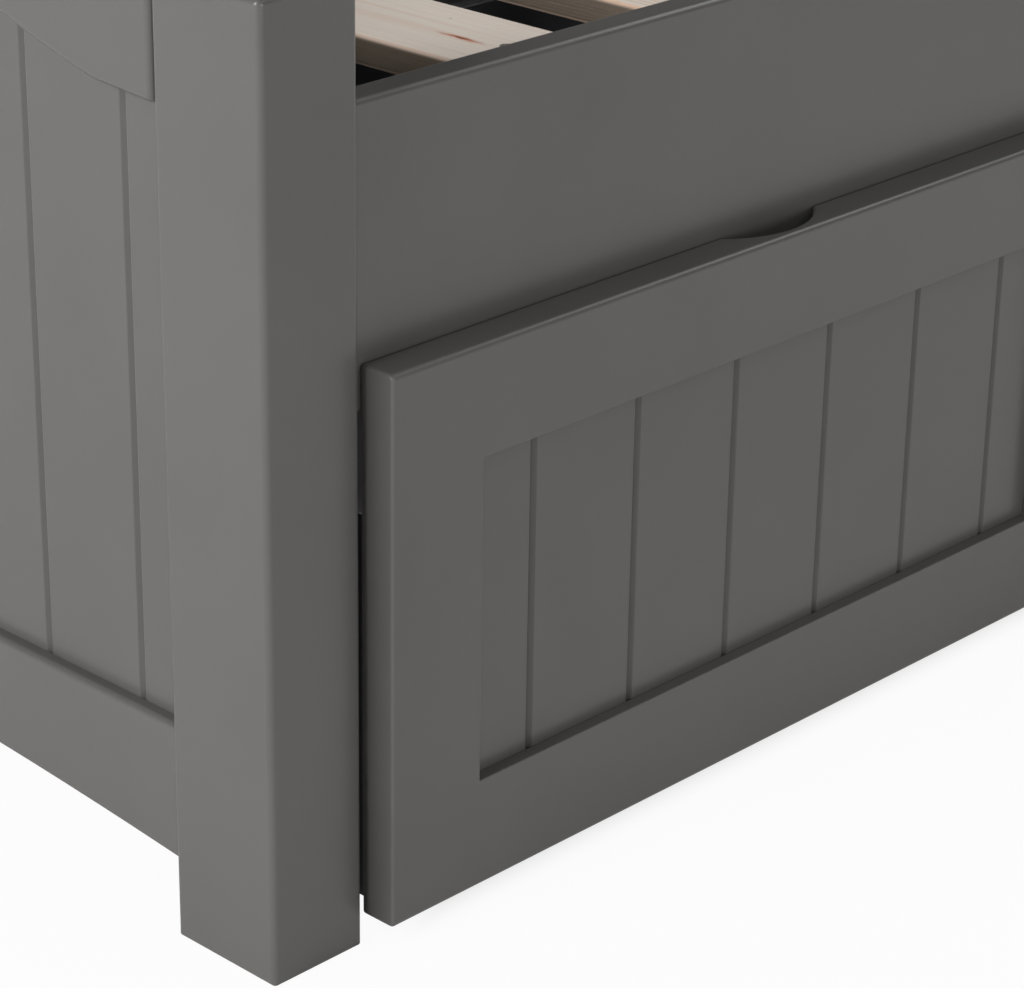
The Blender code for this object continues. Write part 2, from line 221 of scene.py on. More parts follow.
def add_noise(tree: Tree, place: Socket, millimetres: float, detail: float,
              seed: Socket | None = None, roughness: float = 0.5) -> Node:
    """Add a noise of a real size.

    Args:
        tree: The material's tree.
        place: Coordinates that it reads.
        millimetres: Width of its waves.
        detail: How many finer layers it has.
        seed: Number that sets it apart from board to board.
        roughness: Strength of the finer layers.

    Returns:
        The noise node.
    """
    node = add_node(tree, "ShaderNodeTexNoise", {"noise_dimensions": "4D" if seed else "3D"}, {
        "Vector": place, "Scale": waves_per_metre(millimetres), "Detail": detail,
        "Roughness": roughness})
    if seed:
        fill(tree, node, {"W": seed})
    return node


def add_relief(tree: Tree, shader: Node, height: Socket, millimetres: float,
               strength: Socket | float) -> None:
    """Give a shader a fine relief.

    Args:
        tree: The material's tree.
        shader: Shader whose Normal it feeds.
        height: Relief from nought to one.
        millimetres: Height of a full step.
        strength: Share of the relief that shows.
    """
    bump = add_node(tree, "ShaderNodeBump", inputs={
        "Strength": strength, "Distance": millimetres * MILLIMETRE, "Height": height})
    fill(tree, shader, {"Normal": bump.outputs["Normal"]})


def new_material(name: str) -> tuple[Material, Tree, Node]:
    """Make an empty node material with its shader wired to the output.

    Args:
        name: Name of the material.

    Returns:
        The material, its tree and its Principled shader.
    """
    material = bpy.data.materials.new(name)
    tree = cleared_tree(material)
    shader = add_node(tree, "ShaderNodeBsdfPrincipled")
    add_node(tree, "ShaderNodeOutputMaterial", inputs={"Surface": shader.outputs["BSDF"]})
    return material, tree, shader


def blend(tree: Tree, share: Socket, first: Socket | str, second: Socket | str) -> Socket:
    """Blend two colours in a material.

    Args:
        tree: The material's tree.
        share: Share of the second colour.
        first: Hex colour or socket shown where the share is nought.
        second: Hex colour or socket shown where the share is one.

    Returns:
        The blended colour's socket.
    """
    ends = [linear(end) if isinstance(end, str) else end for end in (first, second)]
    # Sockets 6 and 7 are the colours among the node's inputs, and output 2 is the colour.
    node = add_node(tree, "ShaderNodeMix", {"data_type": "RGBA"},
                    {0: share, 6: ends[0], 7: ends[1]})
    return node.outputs[2]


def remap(tree: Tree, value: Socket, span: Point, result: Point, smooth: bool = False
          ) -> Socket:
    """Map a range of values onto another and clamp it there.

    Args:
        tree: The tree of the material or world.
        value: Socket to map.
        span: Values that map onto the two ends of the result.
        result: Values given at the two ends.
        smooth: Whether the change eases in and out.

    Returns:
        The mapped value's socket.
    """
    node = add_node(tree, "ShaderNodeMapRange",
                    {"interpolation_type": "SMOOTHSTEP" if smooth else "LINEAR"},
                    {0: value, 1: span[0], 2: span[1], 3: result[0], 4: result[1]})
    return node.outputs[0]


@dataclass(frozen=True)
class SatinLacquer:
    """Sprayed satin lacquer over board and pine, a dark warm grey.

    The eye gets an even colour, a soft sheen that draws thin lights along the rounded
    edges, and a very fine orange peel where light grazes it.
    """

    name: str = "sprayed_satin_lacquer"
    colour: str = "#5B5A58"
    shade: str = "#585755"
    cloud_mm: float = 160
    tone_span: Point = (0.35, 0.65)
    sheen_span: Point = (0.3, 0.7)
    roughness: Point = (0.285, 0.320)
    peel_mm: float = 1.6
    peel_height_mm: float = 0.02
    peel_strength: float = 0.25
    ior: float = 1.46

    def make(self) -> Material:
        """Make the material."""
        material, tree, shader = new_material(self.name)
        place = own_place(tree)
        cloud = add_noise(tree, place, self.cloud_mm, 3.0).outputs["Fac"]
        peel = add_noise(tree, place, self.peel_mm, 2.0).outputs["Fac"]
        tone = remap(tree, cloud, self.tone_span, (0, 1), smooth=True)
        fill(tree, shader, {
            "Base Color": blend(tree, tone, self.colour, self.shade),
            "Roughness": remap(tree, cloud, self.sheen_span, self.roughness),
            "IOR": self.ior})
        add_relief(tree, shader, peel, self.peel_height_mm, self.peel_strength)
        return material


@dataclass(frozen=True)
class PlanedPine:
    """Bare planed pine, as on slats and battens.

    The eye gets pale pinkish wood with fine lengthwise fibres, a plain middle, warm growth
    lines towards the long edges, and sides that are rougher than the top and much darker,
    a browner sawn tone with painted shade over it, as of sides in shadow.
    """

    name: str = "planed_pine"
    wood: str = "#E4DACF"
    fibre: str = "#DACDC0"
    growth: str = "#CFA88D"
    arris: str = "#C69A78"
    # Dark brown for the slat sides, a browner sawn tone with painted shade over it.
    sawn: str = "#4C4439"
    resin: str = "#B8693F"
    resin_core: str = "#4A2416"
    speck: str = "#8F8B85"
    roughness: Point = (0.55, 0.70)
    fibre_mm: float = 1.1
    fibre_slant: float = 0.022
    fibre_span: Point = (0.32, 0.72)
    fibre_height_mm: float = 0.25
    top_relief: float = 0.25
    side_relief: float = 0.6
    growth_mm: float = 2.4
    growth_span: Point = (0.45, 1.0)
    growth_slant: float = 0.03
    growth_sway: float = 1.6
    growth_strength: Point = (0.08, 0.50)
    heart_depth_mm: float = 62
    heart_lean: Point = (0.03, -0.012)
    plain_mm: float = 38
    plain_slant: float = 0.12
    plain_span: Point = (0.44, 0.62)
    arris_level: Point = (0.86, 0.98)
    arris_strength: float = 0.45
    # The side mask darkens the slat sides with painted shade and also roughens them.
    side_level: Point = (0.25, 0.8)
    side_strength: float = 0.92
    streak_mm: Point = (2.7, 20.0)
    streak_wave_mm: float = 9.0
    streak_sway_mm: float = 3.0
    halo_span: Point = (0.15, 1.20)
    core_span: Point = (0.08, 0.42)
    core_strength: float = 0.92
    speck_mm: float = 1.3
    speck_core: float = 0.3
    speck_strength: float = 0.7
    resin_marks: tuple[Place, ...] = ()
    specks: tuple[Place, ...] = ()

    def make(self) -> Material:
        """Make the material."""
        material, tree, shader = new_material(self.name)
        place, seed = (add_node(tree, "ShaderNodeAttribute", {"attribute_name": name}).outputs[kind]
                       for name, kind in (("board_place", "Vector"), ("board_seed", "Fac")))
        fibres = self.fibres(tree, place, seed)
        level = self.level(tree)
        # Browner tint on the rounded long edges, where the normal turns from the top to the side.
        arris_tint = remap(tree, level, self.arris_level, (self.arris_strength, 0), smooth=True)
        side = remap(tree, level, self.side_level, (1, 0), smooth=True)
        colour = blend(tree, fibres, self.wood, self.fibre)
        colour = blend(tree, self.growth_lines(tree, place, seed), colour, self.growth)
        colour = blend(tree, arris_tint, colour, self.arris)
        # Painted shade: the sides take a dark brown that is partly the sawn wood's tone and mostly
        # painted shade, as of slat sides in shadow.
        colour = blend(tree, reckon(tree, "MULTIPLY", side, self.side_strength), colour, self.sawn)
        fill(tree, shader, {"Base Color": self.add_marks(tree, colour),
                            "Roughness": remap(tree, fibres, (0, 1), self.roughness)})
        add_relief(tree, shader, fibres, self.fibre_height_mm,
                   reckon(tree, "MULTIPLY_ADD", side, self.side_relief, self.top_relief))
        return material

    def fibres(self, tree: Tree, place: Socket, seed: Socket) -> Socket:
        """Fine noise drawn out along the board.

        Args:
            tree: The material's tree.
            place: The board's own coordinates, its length along Y.
            seed: A number that differs from board to board.

        Returns:
            Socket from nought to one.
        """
        drawn = reckon_vector(tree, "MULTIPLY", place, (1, self.fibre_slant, 1))
        noise = add_noise(tree, drawn, self.fibre_mm, 4.0, seed, roughness=0.6)
        return remap(tree, noise.outputs["Fac"], self.fibre_span, (0, 1))

    def growth_lines(self, tree: Tree, place: Socket, seed: Socket) -> Socket:
        """Growth rings about a heart below the board, strong only in patches.

        Args:
            tree: The material's tree.
            place: The board's own coordinates, its length along Y.
            seed: A number that differs from board to board.

        Returns:
            Socket from nought to one.
        """
        heart = add_node(tree, "ShaderNodeCombineXYZ", inputs={
            "X": reckon(tree, "MULTIPLY_ADD", seed, *self.heart_lean), "Y": seed,
            "Z": self.heart_depth_mm * MILLIMETRE})
        moved = reckon_vector(tree, "ADD", place, heart.outputs[0])
        rings = add_node(tree, "ShaderNodeTexWave",
                         {"wave_type": "RINGS", "rings_direction": "Y"}, {
                             "Vector": reckon_vector(tree, "MULTIPLY", moved,
                                                     (1, self.growth_slant, 1)),
                             "Scale": waves_per_metre(self.growth_mm) * RING_STEP,
                             "Distortion": self.growth_sway, "Detail": 2.0,
                             "Detail Scale": 1.0})
        lines = remap(tree, rings.outputs["Fac"], self.growth_span, (0, 1), smooth=True)
        drawn = reckon_vector(tree, "MULTIPLY", place, (1, self.plain_slant, 1))
        patches = add_noise(tree, drawn, self.plain_mm, 1.0, seed).outputs["Fac"]
        strength = remap(tree, patches, self.plain_span, self.growth_strength, smooth=True)
        return reckon(tree, "MULTIPLY", lines, strength)

    def level(self, tree: Tree) -> Socket:
        """Size of the normal's upright part, nought on a side face and one on the top."""
        normal = add_node(tree, "ShaderNodeTexCoord").outputs["Normal"]
        parts = add_node(tree, "ShaderNodeSeparateXYZ", inputs={0: normal})
        return reckon(tree, "ABSOLUTE", parts.outputs["Z"])

    def add_marks(self, tree: Tree, colour: Socket) -> Socket:
        """Lay wavy resin streaks with a dark core, and grey specks, over the wood.

        Args:
            tree: The material's tree.
            colour: The wood's colour.

        Returns:
            The colour with the marks.
        """
        place = own_place(tree)
        sway = self.streak_sway_mm * MILLIMETRE
        wave = add_noise(tree, place, self.streak_wave_mm, 1.0).outputs["Color"]
        swayed = reckon_vector(tree, "MULTIPLY_ADD", wave, (sway, sway, 0), place)
        across, along = (size * MILLIMETRE for size in self.streak_mm)
        for x, y, _ in self.resin_marks:
            spread = add_node(tree, "ShaderNodeMapping", inputs={
                "Vector": swayed, "Scale": (1 / across, 1 / along, 0),
                "Location": (-(x + sway / 2) / across, -(y + sway / 2) / along, 0)})
            away = measure(tree, "LENGTH", spread.outputs[0])
            halo = remap(tree, away, self.halo_span, (1, 0), smooth=True)
            core = remap(tree, away, self.core_span, (self.core_strength, 0), smooth=True)
            colour = blend(tree, halo, colour, self.resin)
            colour = blend(tree, core, colour, self.resin_core)
        edge = self.speck_mm * MILLIMETRE
        for mark in self.specks:
            away = measure(tree, "DISTANCE", place, mark)
            spot = remap(tree, away, (self.speck_core * edge, edge),
                         (self.speck_strength, 0), smooth=True)
            colour = blend(tree, spot, colour, self.speck)
        return colour


@dataclass(frozen=True)
class GrainedFinish:
    """A finish whose tone, sheen and relief all follow one fine grain."""

    name: str
    colour: str
    second: str
    grain_mm: float
    span: Point
    roughness: Point
    detail: float = 3.0
    slant: float = 1.0
    relief_mm: float = 0.0
    relief_strength: float = 0.0
    ior: float = 1.5
    metallic: float = 0.0

    def make(self) -> Material:
        """Make the material."""
        material, tree, shader = new_material(self.name)
        drawn = reckon_vector(tree, "MULTIPLY", own_place(tree), (1, self.slant, 1))
        grain = add_noise(tree, drawn, self.grain_mm, self.detail).outputs["Fac"]
        share = remap(tree, grain, self.span, (0, 1))
        fill(tree, shader, {
            "Base Color": blend(tree, share, self.colour, self.second),
            "Roughness": remap(tree, share, (0, 1), self.roughness),
            "IOR": self.ior, "Metallic": self.metallic})
        if self.relief_mm:
            add_relief(tree, shader, grain, self.relief_mm, self.relief_strength)
        return material


@dataclass(frozen=True)
class FoilBoard(GrainedFinish):
    """Particle board faced with a dark cool grey foil, as the drawer boxes are.

    The eye gets a flat dark grey, a little bluer than the lacquer, with a faint printed
    fleck and a dull sheen.
    """

    name: str = "foil_faced_board"
    colour: str = "#5A5B5F"
    second: str = "#545559"
    grain_mm: float = 1.4
    slant: float = 0.12
    span: Point = (0.4, 0.7)
    roughness: Point = (0.42, 0.52)
    relief_mm: float = 0.05
    relief_strength: float = 0.15


@dataclass(frozen=True)
class MouldedNylon(GrainedFinish):
    """Black nylon from a spark-eroded mould.

    The eye gets a near-black plastic with a fine even grain and dull lights.
    """

    name: str = "moulded_nylon"
    colour: str = "#1D1D1E"
    second: str = "#2B2B2C"
    grain_mm: float = 0.5
    detail: float = 2.0
    span: Point = (0.35, 0.75)
    roughness: Point = (0.40, 0.55)
    relief_mm: float = 0.04
    relief_strength: float = 0.3
    ior: float = 1.53


@dataclass(frozen=True)
class ZincPlate(GrainedFinish):
    """Zinc plated steel, barrel plated and passivated.

    The eye gets a dull greenish grey metal with a cloudy sheen.
    """

    name: str = "zinc_plated_steel"
    colour: str = "#A3A69A"
    second: str = "#83867A"
    grain_mm: float = 2.2
    span: Point = (0.35, 0.7)
    roughness: Point = (0.32, 0.50)
    metallic: float = 1.0


def white_share(tree: Tree, straight: Socket | float, gloss: Socket | float) -> Socket:
    """Share of plain white that the stage shows, nought for the light it gives the object.

    Args:
        tree: Tree of a stage material or of the world.
        straight: Share for rays from the camera or through glass.
        gloss: Share for rays seen in gloss.

    Returns:
        Socket from nought to one.
    """
    path = add_node(tree, "ShaderNodeLightPath").outputs
    either = reckon(tree, "MAXIMUM", path["Is Camera Ray"], path["Is Transmission Ray"])
    seen = reckon(tree, "MULTIPLY", either, straight)
    return reckon(tree, "MAXIMUM", seen,
                  reckon(tree, "MULTIPLY", path["Is Glossy Ray"], gloss))


@dataclass(frozen=True)
class PaperFloor:
    """Pale seamless paper that shows white to the eye and keeps the object's shadow.

    Under the bed the white gives way to the paper's own shade, and gloss finds the full
    white only some way off, as it would beside a real bed.
    """

    name: str = "pale_seamless_paper"
    colour: str = "#E6E6E4"
    tooth_mm: float = 4.0
    tooth_height_mm: float = 0.1
    tooth_strength: float = 0.05
    white_share: float = 0.95
    fade: Point = (1.6, 2.6)
    under_ends: Point = (-0.30, -0.08)
    under_front: Point = (-0.08, 0.0)
    gloss_reach: Point = (-0.12, 0.16)
    gloss_white: float = 0.62

    def make(self, half_bed: Point) -> Material:
        """Make the material.

        Args:
            half_bed: Half the length and half the depth of the bed over the origin.

        Returns:
            The material.
        """
        material = bpy.data.materials.new(self.name)
        tree = cleared_tree(material)
        place = own_place(tree)
        paper = add_node(tree, "ShaderNodeBsdfDiffuse", inputs={"Color": linear(self.colour)})
        tooth = add_noise(tree, place, self.tooth_mm, 2.0).outputs["Fac"]
        add_relief(tree, paper, tooth, self.tooth_height_mm, self.tooth_strength)
        white = add_node(tree, "ShaderNodeEmission", inputs={"Color": (1, 1, 1, 1)})
        away = measure(tree, "LENGTH", place)
        share = remap(tree, away, self.fade, (self.white_share, 1), smooth=True)
        past = reckon_vector(tree, "SUBTRACT", reckon_vector(tree, "ABSOLUTE", place),
                             (*half_bed, 0))
        parts = add_node(tree, "ShaderNodeSeparateXYZ", inputs={0: past})
        past_end, past_front = parts.outputs["X"], parts.outputs["Y"]
        clear = reckon(tree, "MAXIMUM",
                       remap(tree, past_end, self.under_ends, (0, 1), smooth=True),
                       remap(tree, past_front, self.under_front, (0, 1), smooth=True))
        in_gloss = remap(tree, reckon(tree, "MAXIMUM", past_end, past_front),
                         self.gloss_reach, (0, self.gloss_white))
        mixed = add_node(tree, "ShaderNodeMixShader", inputs={
            0: white_share(tree, reckon(tree, "MULTIPLY", share, clear),
                           reckon(tree, "MULTIPLY", share, in_gloss)),
            1: paper.outputs[0], 2: white.outputs[0]})
        add_node(tree, "ShaderNodeOutputMaterial", inputs={"Surface": mixed.outputs[0]})
        return material


class Palette:
    """Every finish of the daybed, made once."""

    def __init__(self) -> None:
        """Make the materials."""
        self.lacquer = SatinLacquer().make()
        self.pine = PlanedPine(resin_marks=SlatBase.resin_marks, specks=SlatBase.specks).make()
        self.board = FoilBoard().make()
        self.nylon = MouldedNylon().make()
        self.zinc = ZincPlate().make()


def quarter_turn(steps: int) -> list[Point]:
    """What the sine and the cosine lack of one, in equal steps of a quarter turn."""
    angles = [math.pi / 2 * step / steps for step in range(steps + 1)]
    return [(1 - math.sin(angle), 1 - math.cos(angle)) for angle in angles]


def rounded_section(corners: Sequence[Corner], steps: int) -> list[Point]:
    """Outline of a section with an arc in place of each corner that has a radius.

    Args:
        corners: Across, up and radius of each corner in turn.
        steps: Number of straight runs in an arc.

    Returns:
        The outline's points.
    """
    outline: list[Point] = []
    count = len(corners)
    for index, (u, v, radius) in enumerate(corners):
        here = Vector((u, v))
        if radius <= 0:
            outline.append((u, v))
            continue
        before = (Vector(corners[index - 1][:2]) - here).normalized()
        after = (Vector(corners[(index + 1) % count][:2]) - here).normalized()
        half = before.angle(after) / 2
        middle = here + (before + after).normalized() * (radius / math.sin(half))
        start = here + before * (radius / math.tan(half)) - middle
        end = here + after * (radius / math.tan(half)) - middle
        turn = start.angle(end)
        for step in range(steps + 1):
            share = step / steps
            arm = (start * math.sin((1 - share) * turn)
                   + end * math.sin(share * turn)) / math.sin(turn)
            outline.append(tuple(middle + arm))
    return outline


def loft(rings: Sequence[Sequence[Place]], looped: bool = False) -> Shell:
    """Skin a run of rings that have as many points each.

    Args:
        rings: Points of each ring.
        looped: Whether the last ring joins the first, in place of end caps.

    Returns:
        The closed shell.
    """
    shell = bmesh.new()
    rows = [[shell.verts.new(point) for point in ring] for ring in rings]
    pairs = list(zip(rows, rows[1:]))
    if looped:
        pairs.append((rows[-1], rows[0]))
    for near, far in pairs:
        for index in range(len(near)):
            after = (index + 1) % len(near)
            shell.faces.new((near[index], near[after], far[after], far[index]))
    if not looped:
        shell.faces.new(rows[0])
        shell.faces.new(reversed(rows[-1]))
    return shell


def stood_along(point: Point, axis: Axis, along: float) -> Place:
    """Place of a section's point at a length along an axis."""
    place = list(point)
    place.insert(axis.value, along)
    return tuple(place)


def draw_out(outline: Sequence[Point], axis: Axis, start: float, end: float) -> Shell:
    """Draw a section, given in the other two axes in their order, out along an axis."""
    return loft([[stood_along(point, axis, along) for point in outline]
                 for along in (start, end)])


def box_shell(low: Sequence[float], high: Sequence[float]) -> Shell:
    """A plain box between two corners, as a blank to be worked on."""
    outline = [(low[0], low[1]), (high[0], low[1]), (high[0], high[1]), (low[0], high[1])]
    return draw_out(outline, Axis.Z, low[2], high[2])


def plank(low: Vector, high: Vector, axis: Axis, radius: float, steps: int) -> Shell:
    """Board with rounded long edges.

    Args:
        low: Lowest corner of the box that it fills.
        high: Highest corner of that box.
        axis: Axis of its length.
        radius: Radius of its long edges.
        steps: Number of straight runs across each.

    Returns:
        The shell.
    """
    u, v = (index for index in range(3) if index != axis.value)
    section = rounded_section([(low[u], low[v], radius), (high[u], low[v], radius),
                               (high[u], high[v], radius), (low[u], high[v], radius)], steps)
    return draw_out(section, axis, low[axis.value], high[axis.value])


def turned(profile: Sequence[Point], middle: Sequence[float], axis: Axis, steps: int,
           looped: bool = False) -> Shell:
    """Turn a profile about an axis through a point.

    Args:
        profile: Length along the axis and radius of each point.
        middle: Point on the axis from which lengths are measured.
        axis: Direction of the axis.
        steps: Number of flats round it.
        looped: Whether the profile closes on itself round a bore.

    Returns:
        The turned shell.
    """
    arms = [(math.cos(math.tau * step / steps), math.sin(math.tau * step / steps))
            for step in range(steps)]
    rings = [[tuple(own + base for own, base in zip(
        stood_along((radius * arm[0], radius * arm[1]), axis, along), middle))
              for arm in arms] for along, radius in profile]
    return loft(list(zip(*rings)) if looped else rings, looped)


def link_item(name: str, data: bpy.types.ID) -> Item:
    """Put a mesh, lamp or camera into the scene at the origin."""
    item = bpy.data.objects.new(name, data)
    bpy.context.scene.collection.objects.link(item)
    return item


def link_shell(name: str, shell: Shell) -> Item:
    """Turn a shell, which is freed, into an object at the origin."""
    bmesh.ops.remove_doubles(shell, verts=shell.verts, dist=MERGE_DISTANCE)
    bmesh.ops.recalc_face_normals(shell, faces=shell.faces)
    mesh = bpy.data.meshes.new(name)
    shell.to_mesh(mesh)
    shell.free()
    return link_item(name, mesh)


def settle(item: Item) -> None:
    """Turn an object's modifiers into plain mesh."""
    graph = bpy.context.evaluated_depsgraph_get()
    mesh = bpy.data.meshes.new_from_object(item.evaluated_get(graph), depsgraph=graph)
    mesh.name = item.name
    item.modifiers.clear()
    old = item.data
    item.data = mesh
    bpy.data.meshes.remove(old)


def cut_away(item: Item, tools: Sequence[Shell]) -> None:
    """Cut shells out of an object.

    Args:
        item: The object to cut.
        tools: Shells in world places, which are freed.
    """
    helpers = [link_shell(item.name + "_tool", tool) for tool in tools]
    for helper in helpers:
        cut = item.modifiers.new("cut", "BOOLEAN")
        cut.operation = "DIFFERENCE"
        cut.solver = "EXACT"
        cut.object = helper
    settle(item)
    for helper in helpers:
        bpy.data.objects.remove(helper)


def round_over(item: Item, radius: float, steps: int,
               share: Callable[[Vector, Vector], float]) -> None:
    """Round chosen edges of a blank.

    Args:
        item: The blank.
        radius: Radius of a full rounding.
        steps: Number of straight runs across it.
        share: Gives the share of the radius that the edge between two points gets.
    """
    weights = item.data.attributes.new("bevel_weight_edge", "FLOAT", "EDGE")
    for edge in item.data.edges:
        ends = [item.data.vertices[index].co for index in edge.vertices]
        weights.data[edge.index].value = share(*ends)
    bevel = item.modifiers.new("rounding", "BEVEL")
    bevel.limit_method = "WEIGHT"
    bevel.width = radius
    bevel.segments = steps
    settle(item)


def shade(item: Item) -> None:
    """Shade roundings smooth and keep flats flat."""
    mesh = item.data
    mesh.polygons.foreach_set("use_smooth", [True] * len(mesh.polygons))
    mesh.set_sharp_from_angle(angle=SMOOTH_ANGLE)
    weighted = item.modifiers.new("flats", "WEIGHTED_NORMAL")
    weighted.keep_sharp = True
    weighted.weight = FLAT_WEIGHT
    settle(item)


def mark_board(item: Item, seed: float) -> None:
    """Store its own coordinates for the grain of a wooden piece that runs along X.

    Args:
        item: The piece.
        seed: Number that sets its grain apart.
    """
    mesh = item.data
    places = [vertex.co.copy() for vertex in mesh.vertices]
    middle = sum(places, Vector()) / len(places)
    mesh.attributes.new("board_seed", "FLOAT", "POINT")
    mesh.attributes.new("board_place", "FLOAT_VECTOR", "POINT")
    for index, place in enumerate(places):
        own = place - middle
        mesh.attributes["board_place"].data[index].vector = (own.y, own.x, own.z)
        mesh.attributes["board_seed"].data[index].value = seed


def dress(item: Item, material: Material) -> None:
    """Give a piece its one finish."""
    item.data.materials.clear()
    item.data.materials.append(material)


def hand_over(item: Item, body: str, nodes: Sequence[str]) -> None:
    """Seat a finished piece on its body in place of its nodes and report it.

    Args:
        item: The finished piece.
        body: Body that carries it.
        nodes: Nodes that it stands for.
    """
    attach(item, body)
    if nodes:
        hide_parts(*nodes)
    log.info("%s rides on %s, %d faces", item.name, body, len(item.data.polygons))


def complete(item: Item, material: Material, body: str, nodes: Sequence[str]) -> None:
    """Shade and dress a piece, then hand it over.

    Args:
        item: The piece in its final form.
        material: Its finish.
        body: Body that carries it.
        nodes: Nodes that it stands for.
    """
    shade(item)
    dress(item, material)
    hand_over(item, body, nodes)


def lacquer(palette: Palette, node: str, shell: Shell, body: str = BED_BODY) -> None:
    """Complete a lacquered piece that stands for one node."""
    complete(link_shell("lacquered_" + node, shell), palette.lacquer, body, [node])


@dataclass(frozen=True)
class Grooving:
    """Grooves that make a sheet look like boards."""

    width: float = 0.0055
    depth: float = 0.0021
    floor_share: float = 0.10
    arris: float = 0.0004
    lip_share: float = 0.3
    lip_drops: Point = (0.12, 0.42)
    shift: float = 0.0010

    def places(self, clear_width: float, margin: float, count: int) -> list[float]:
        """Middles of equal grooves, measured from the sheet's middle."""
        pitch = (clear_width - 2 * margin) / (count - 1)
        return [(index - (count - 1) / 2) * pitch + self.shift for index in range(count)]

    def stations(self, half_width: float, places: Sequence[float]) -> list[Point]:
        """Places and depths along a grooved face from edge to edge.

        Args:
            half_width: Half the width of the whole sheet.
            places: Middles of the grooves.

        Returns:
            Place and depth of each point, with a rounded arris on both lips.
        """
        half = self.width / 2
        floor = half * self.floor_share
        run = math.hypot(half - floor, self.depth)
        slide = self.arris * (half - floor) / run
        drop = self.arris * self.depth / run
        first, second = self.lip_drops
        lip = [(half + self.arris, 0), (half + self.arris * self.lip_share, drop * first),
               (half - slide * self.lip_share, drop * second), (half - slide, drop),
               (floor, self.depth)]
        stations: list[Point] = [(-half_width, 0)]
        for place in places:
            stations += [(place - across, depth) for across, depth in lip]
            stations += [(place + across, depth) for across, depth in reversed(lip)]
        stations.append((half_width, 0))
        return stations


@dataclass
class Serpentine:
    """Edge of the end rails, low and level at the front, swept up to the back."""

    depth: float
    lower: float
    back: float
    post_depth: float
    kink: float = 0.132
    flat_share: float = 0.061
    start_share: float = 0.205
    steps: int = 96

    @property
    def rise(self) -> float:
        """Height that the swept part gains between the two level parts."""
        return self.back - self.lower - 2 * self.flat_share * (self.kink - self.post_depth)

    @property
    def sweep(self) -> float:
        """Depth of the swept part."""
        return self.depth - 2 * self.kink

    def lower_edge(self, depth: float) -> float:
        """Height of the rail's lower edge at a depth from the post's front face."""
        if depth <= self.kink:
            return self.lower + self.flat_share * (depth - self.post_depth)
        if depth >= self.depth - self.kink:
            return self.back - self.flat_share * (self.depth - self.post_depth - depth)
        # A cubic run, where ramp gives the rise and lean gives the slope at the start.
        share = (depth - self.kink) / self.sweep
        ramp = 3 * share ** 2 - 2 * share ** 3
        lean = share - 3 * share ** 2 + 2 * share ** 3
        start = self.lower + self.flat_share * (self.kink - self.post_depth)
        return start + self.rise * ramp + self.sweep * self.start_share * lean

    def stretch(self, depth: float) -> float:
        """Upright length of one metre measured squarely across the rail at a depth."""
        near = min(depth, self.depth - depth)
        if near < self.kink:
            slope = self.start_share * (near - self.post_depth) / (self.kink - self.post_depth)
        else:
            share = (depth - self.kink) / self.sweep
            slope = (self.rise / self.sweep * (6 * share - 6 * share ** 2)
                     + self.start_share * (1 - 6 * share + 6 * share ** 2))
        return math.hypot(1, slope)

    def stations(self) -> list[float]:
        """Depths at which the edge is drawn, from one post's inner face to the other's."""
        inner = [self.kink + self.sweep * step / self.steps for step in range(self.steps + 1)]
        return [self.post_depth, *inner, self.depth - self.post_depth]


@dataclass
class Posts:
    """Four square posts, rounded on all but the foot, housed for the panels."""

    palette: Palette
    edge_radius: float = 0.004
    edge_steps: int = 6
    foot_share: float = 0.40

    def build(self) -> None:
        """Make the four posts."""
        for side in Side:
            for row in Row:
                self.make_post(side, row)

    def make_post(self, side: Side, row: Row) -> None:
        """Make one post from the box of its node.

        Args:
            side: End of the bed.
            row: Front or back.
        """
        node = f"{row.label}_post_{side.label}"
        low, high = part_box(node)
        post = link_shell("lacquered_" + node, box_shell(low, high))
        round_over(post, self.edge_radius, self.edge_steps,
                   lambda a, b: self.foot_share if max(a.z, b.z) < FIT else 1.0)
        panel = "end_panel_" + side.label
        if row is Row.FRONT:
            top = self.panel_top_at(panel, high.y)
            tools = [self.housing(panel, Axis.Y, high.y, row.value, top)]
        else:
            inner = high.x if side is Side.LEFT else low.x
            tools = [self.housing(panel, Axis.Y, low.y, row.value),
                     self.housing("back_panel", Axis.X, inner, -side.value)]
        cut_away(post, tools)
        complete(post, self.palette.lacquer, BED_BODY, [node])

    def panel_top_at(self, panel: str, depth: float) -> float:
        """Height of an end panel's hidden top edge next to the front post."""
        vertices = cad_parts[panel].data.vertices
        return max(vertex.co.z for vertex in vertices if vertex.co.y < depth)

    def housing(self, panel: str, axis: Axis, face: float, outward: int,
                top: float | None = None) -> Shell:
        """Tool for the upright housing that takes a panel's edge.

        Args:
            panel: Node of the panel.
            axis: Axis on which the panel runs into the post.
            face: Where the post's inner face lies on that axis.
            outward: Sign of the way out of the post there.
            top: Height of the panel's edge, where it is lower than the panel.

        Returns:
            The tool.
        """
        first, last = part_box(panel)
        low = [value - FIT for value in first]
        high = [value + FIT for value in last]
        low[axis.value], high[axis.value] = sorted(
            (face - outward * (HOUSING_DEPTH + FIT), face + outward * OVERRUN))
        if top is not None:
            high[Axis.Z.value] = top + FIT
        return box_shell(low, high)


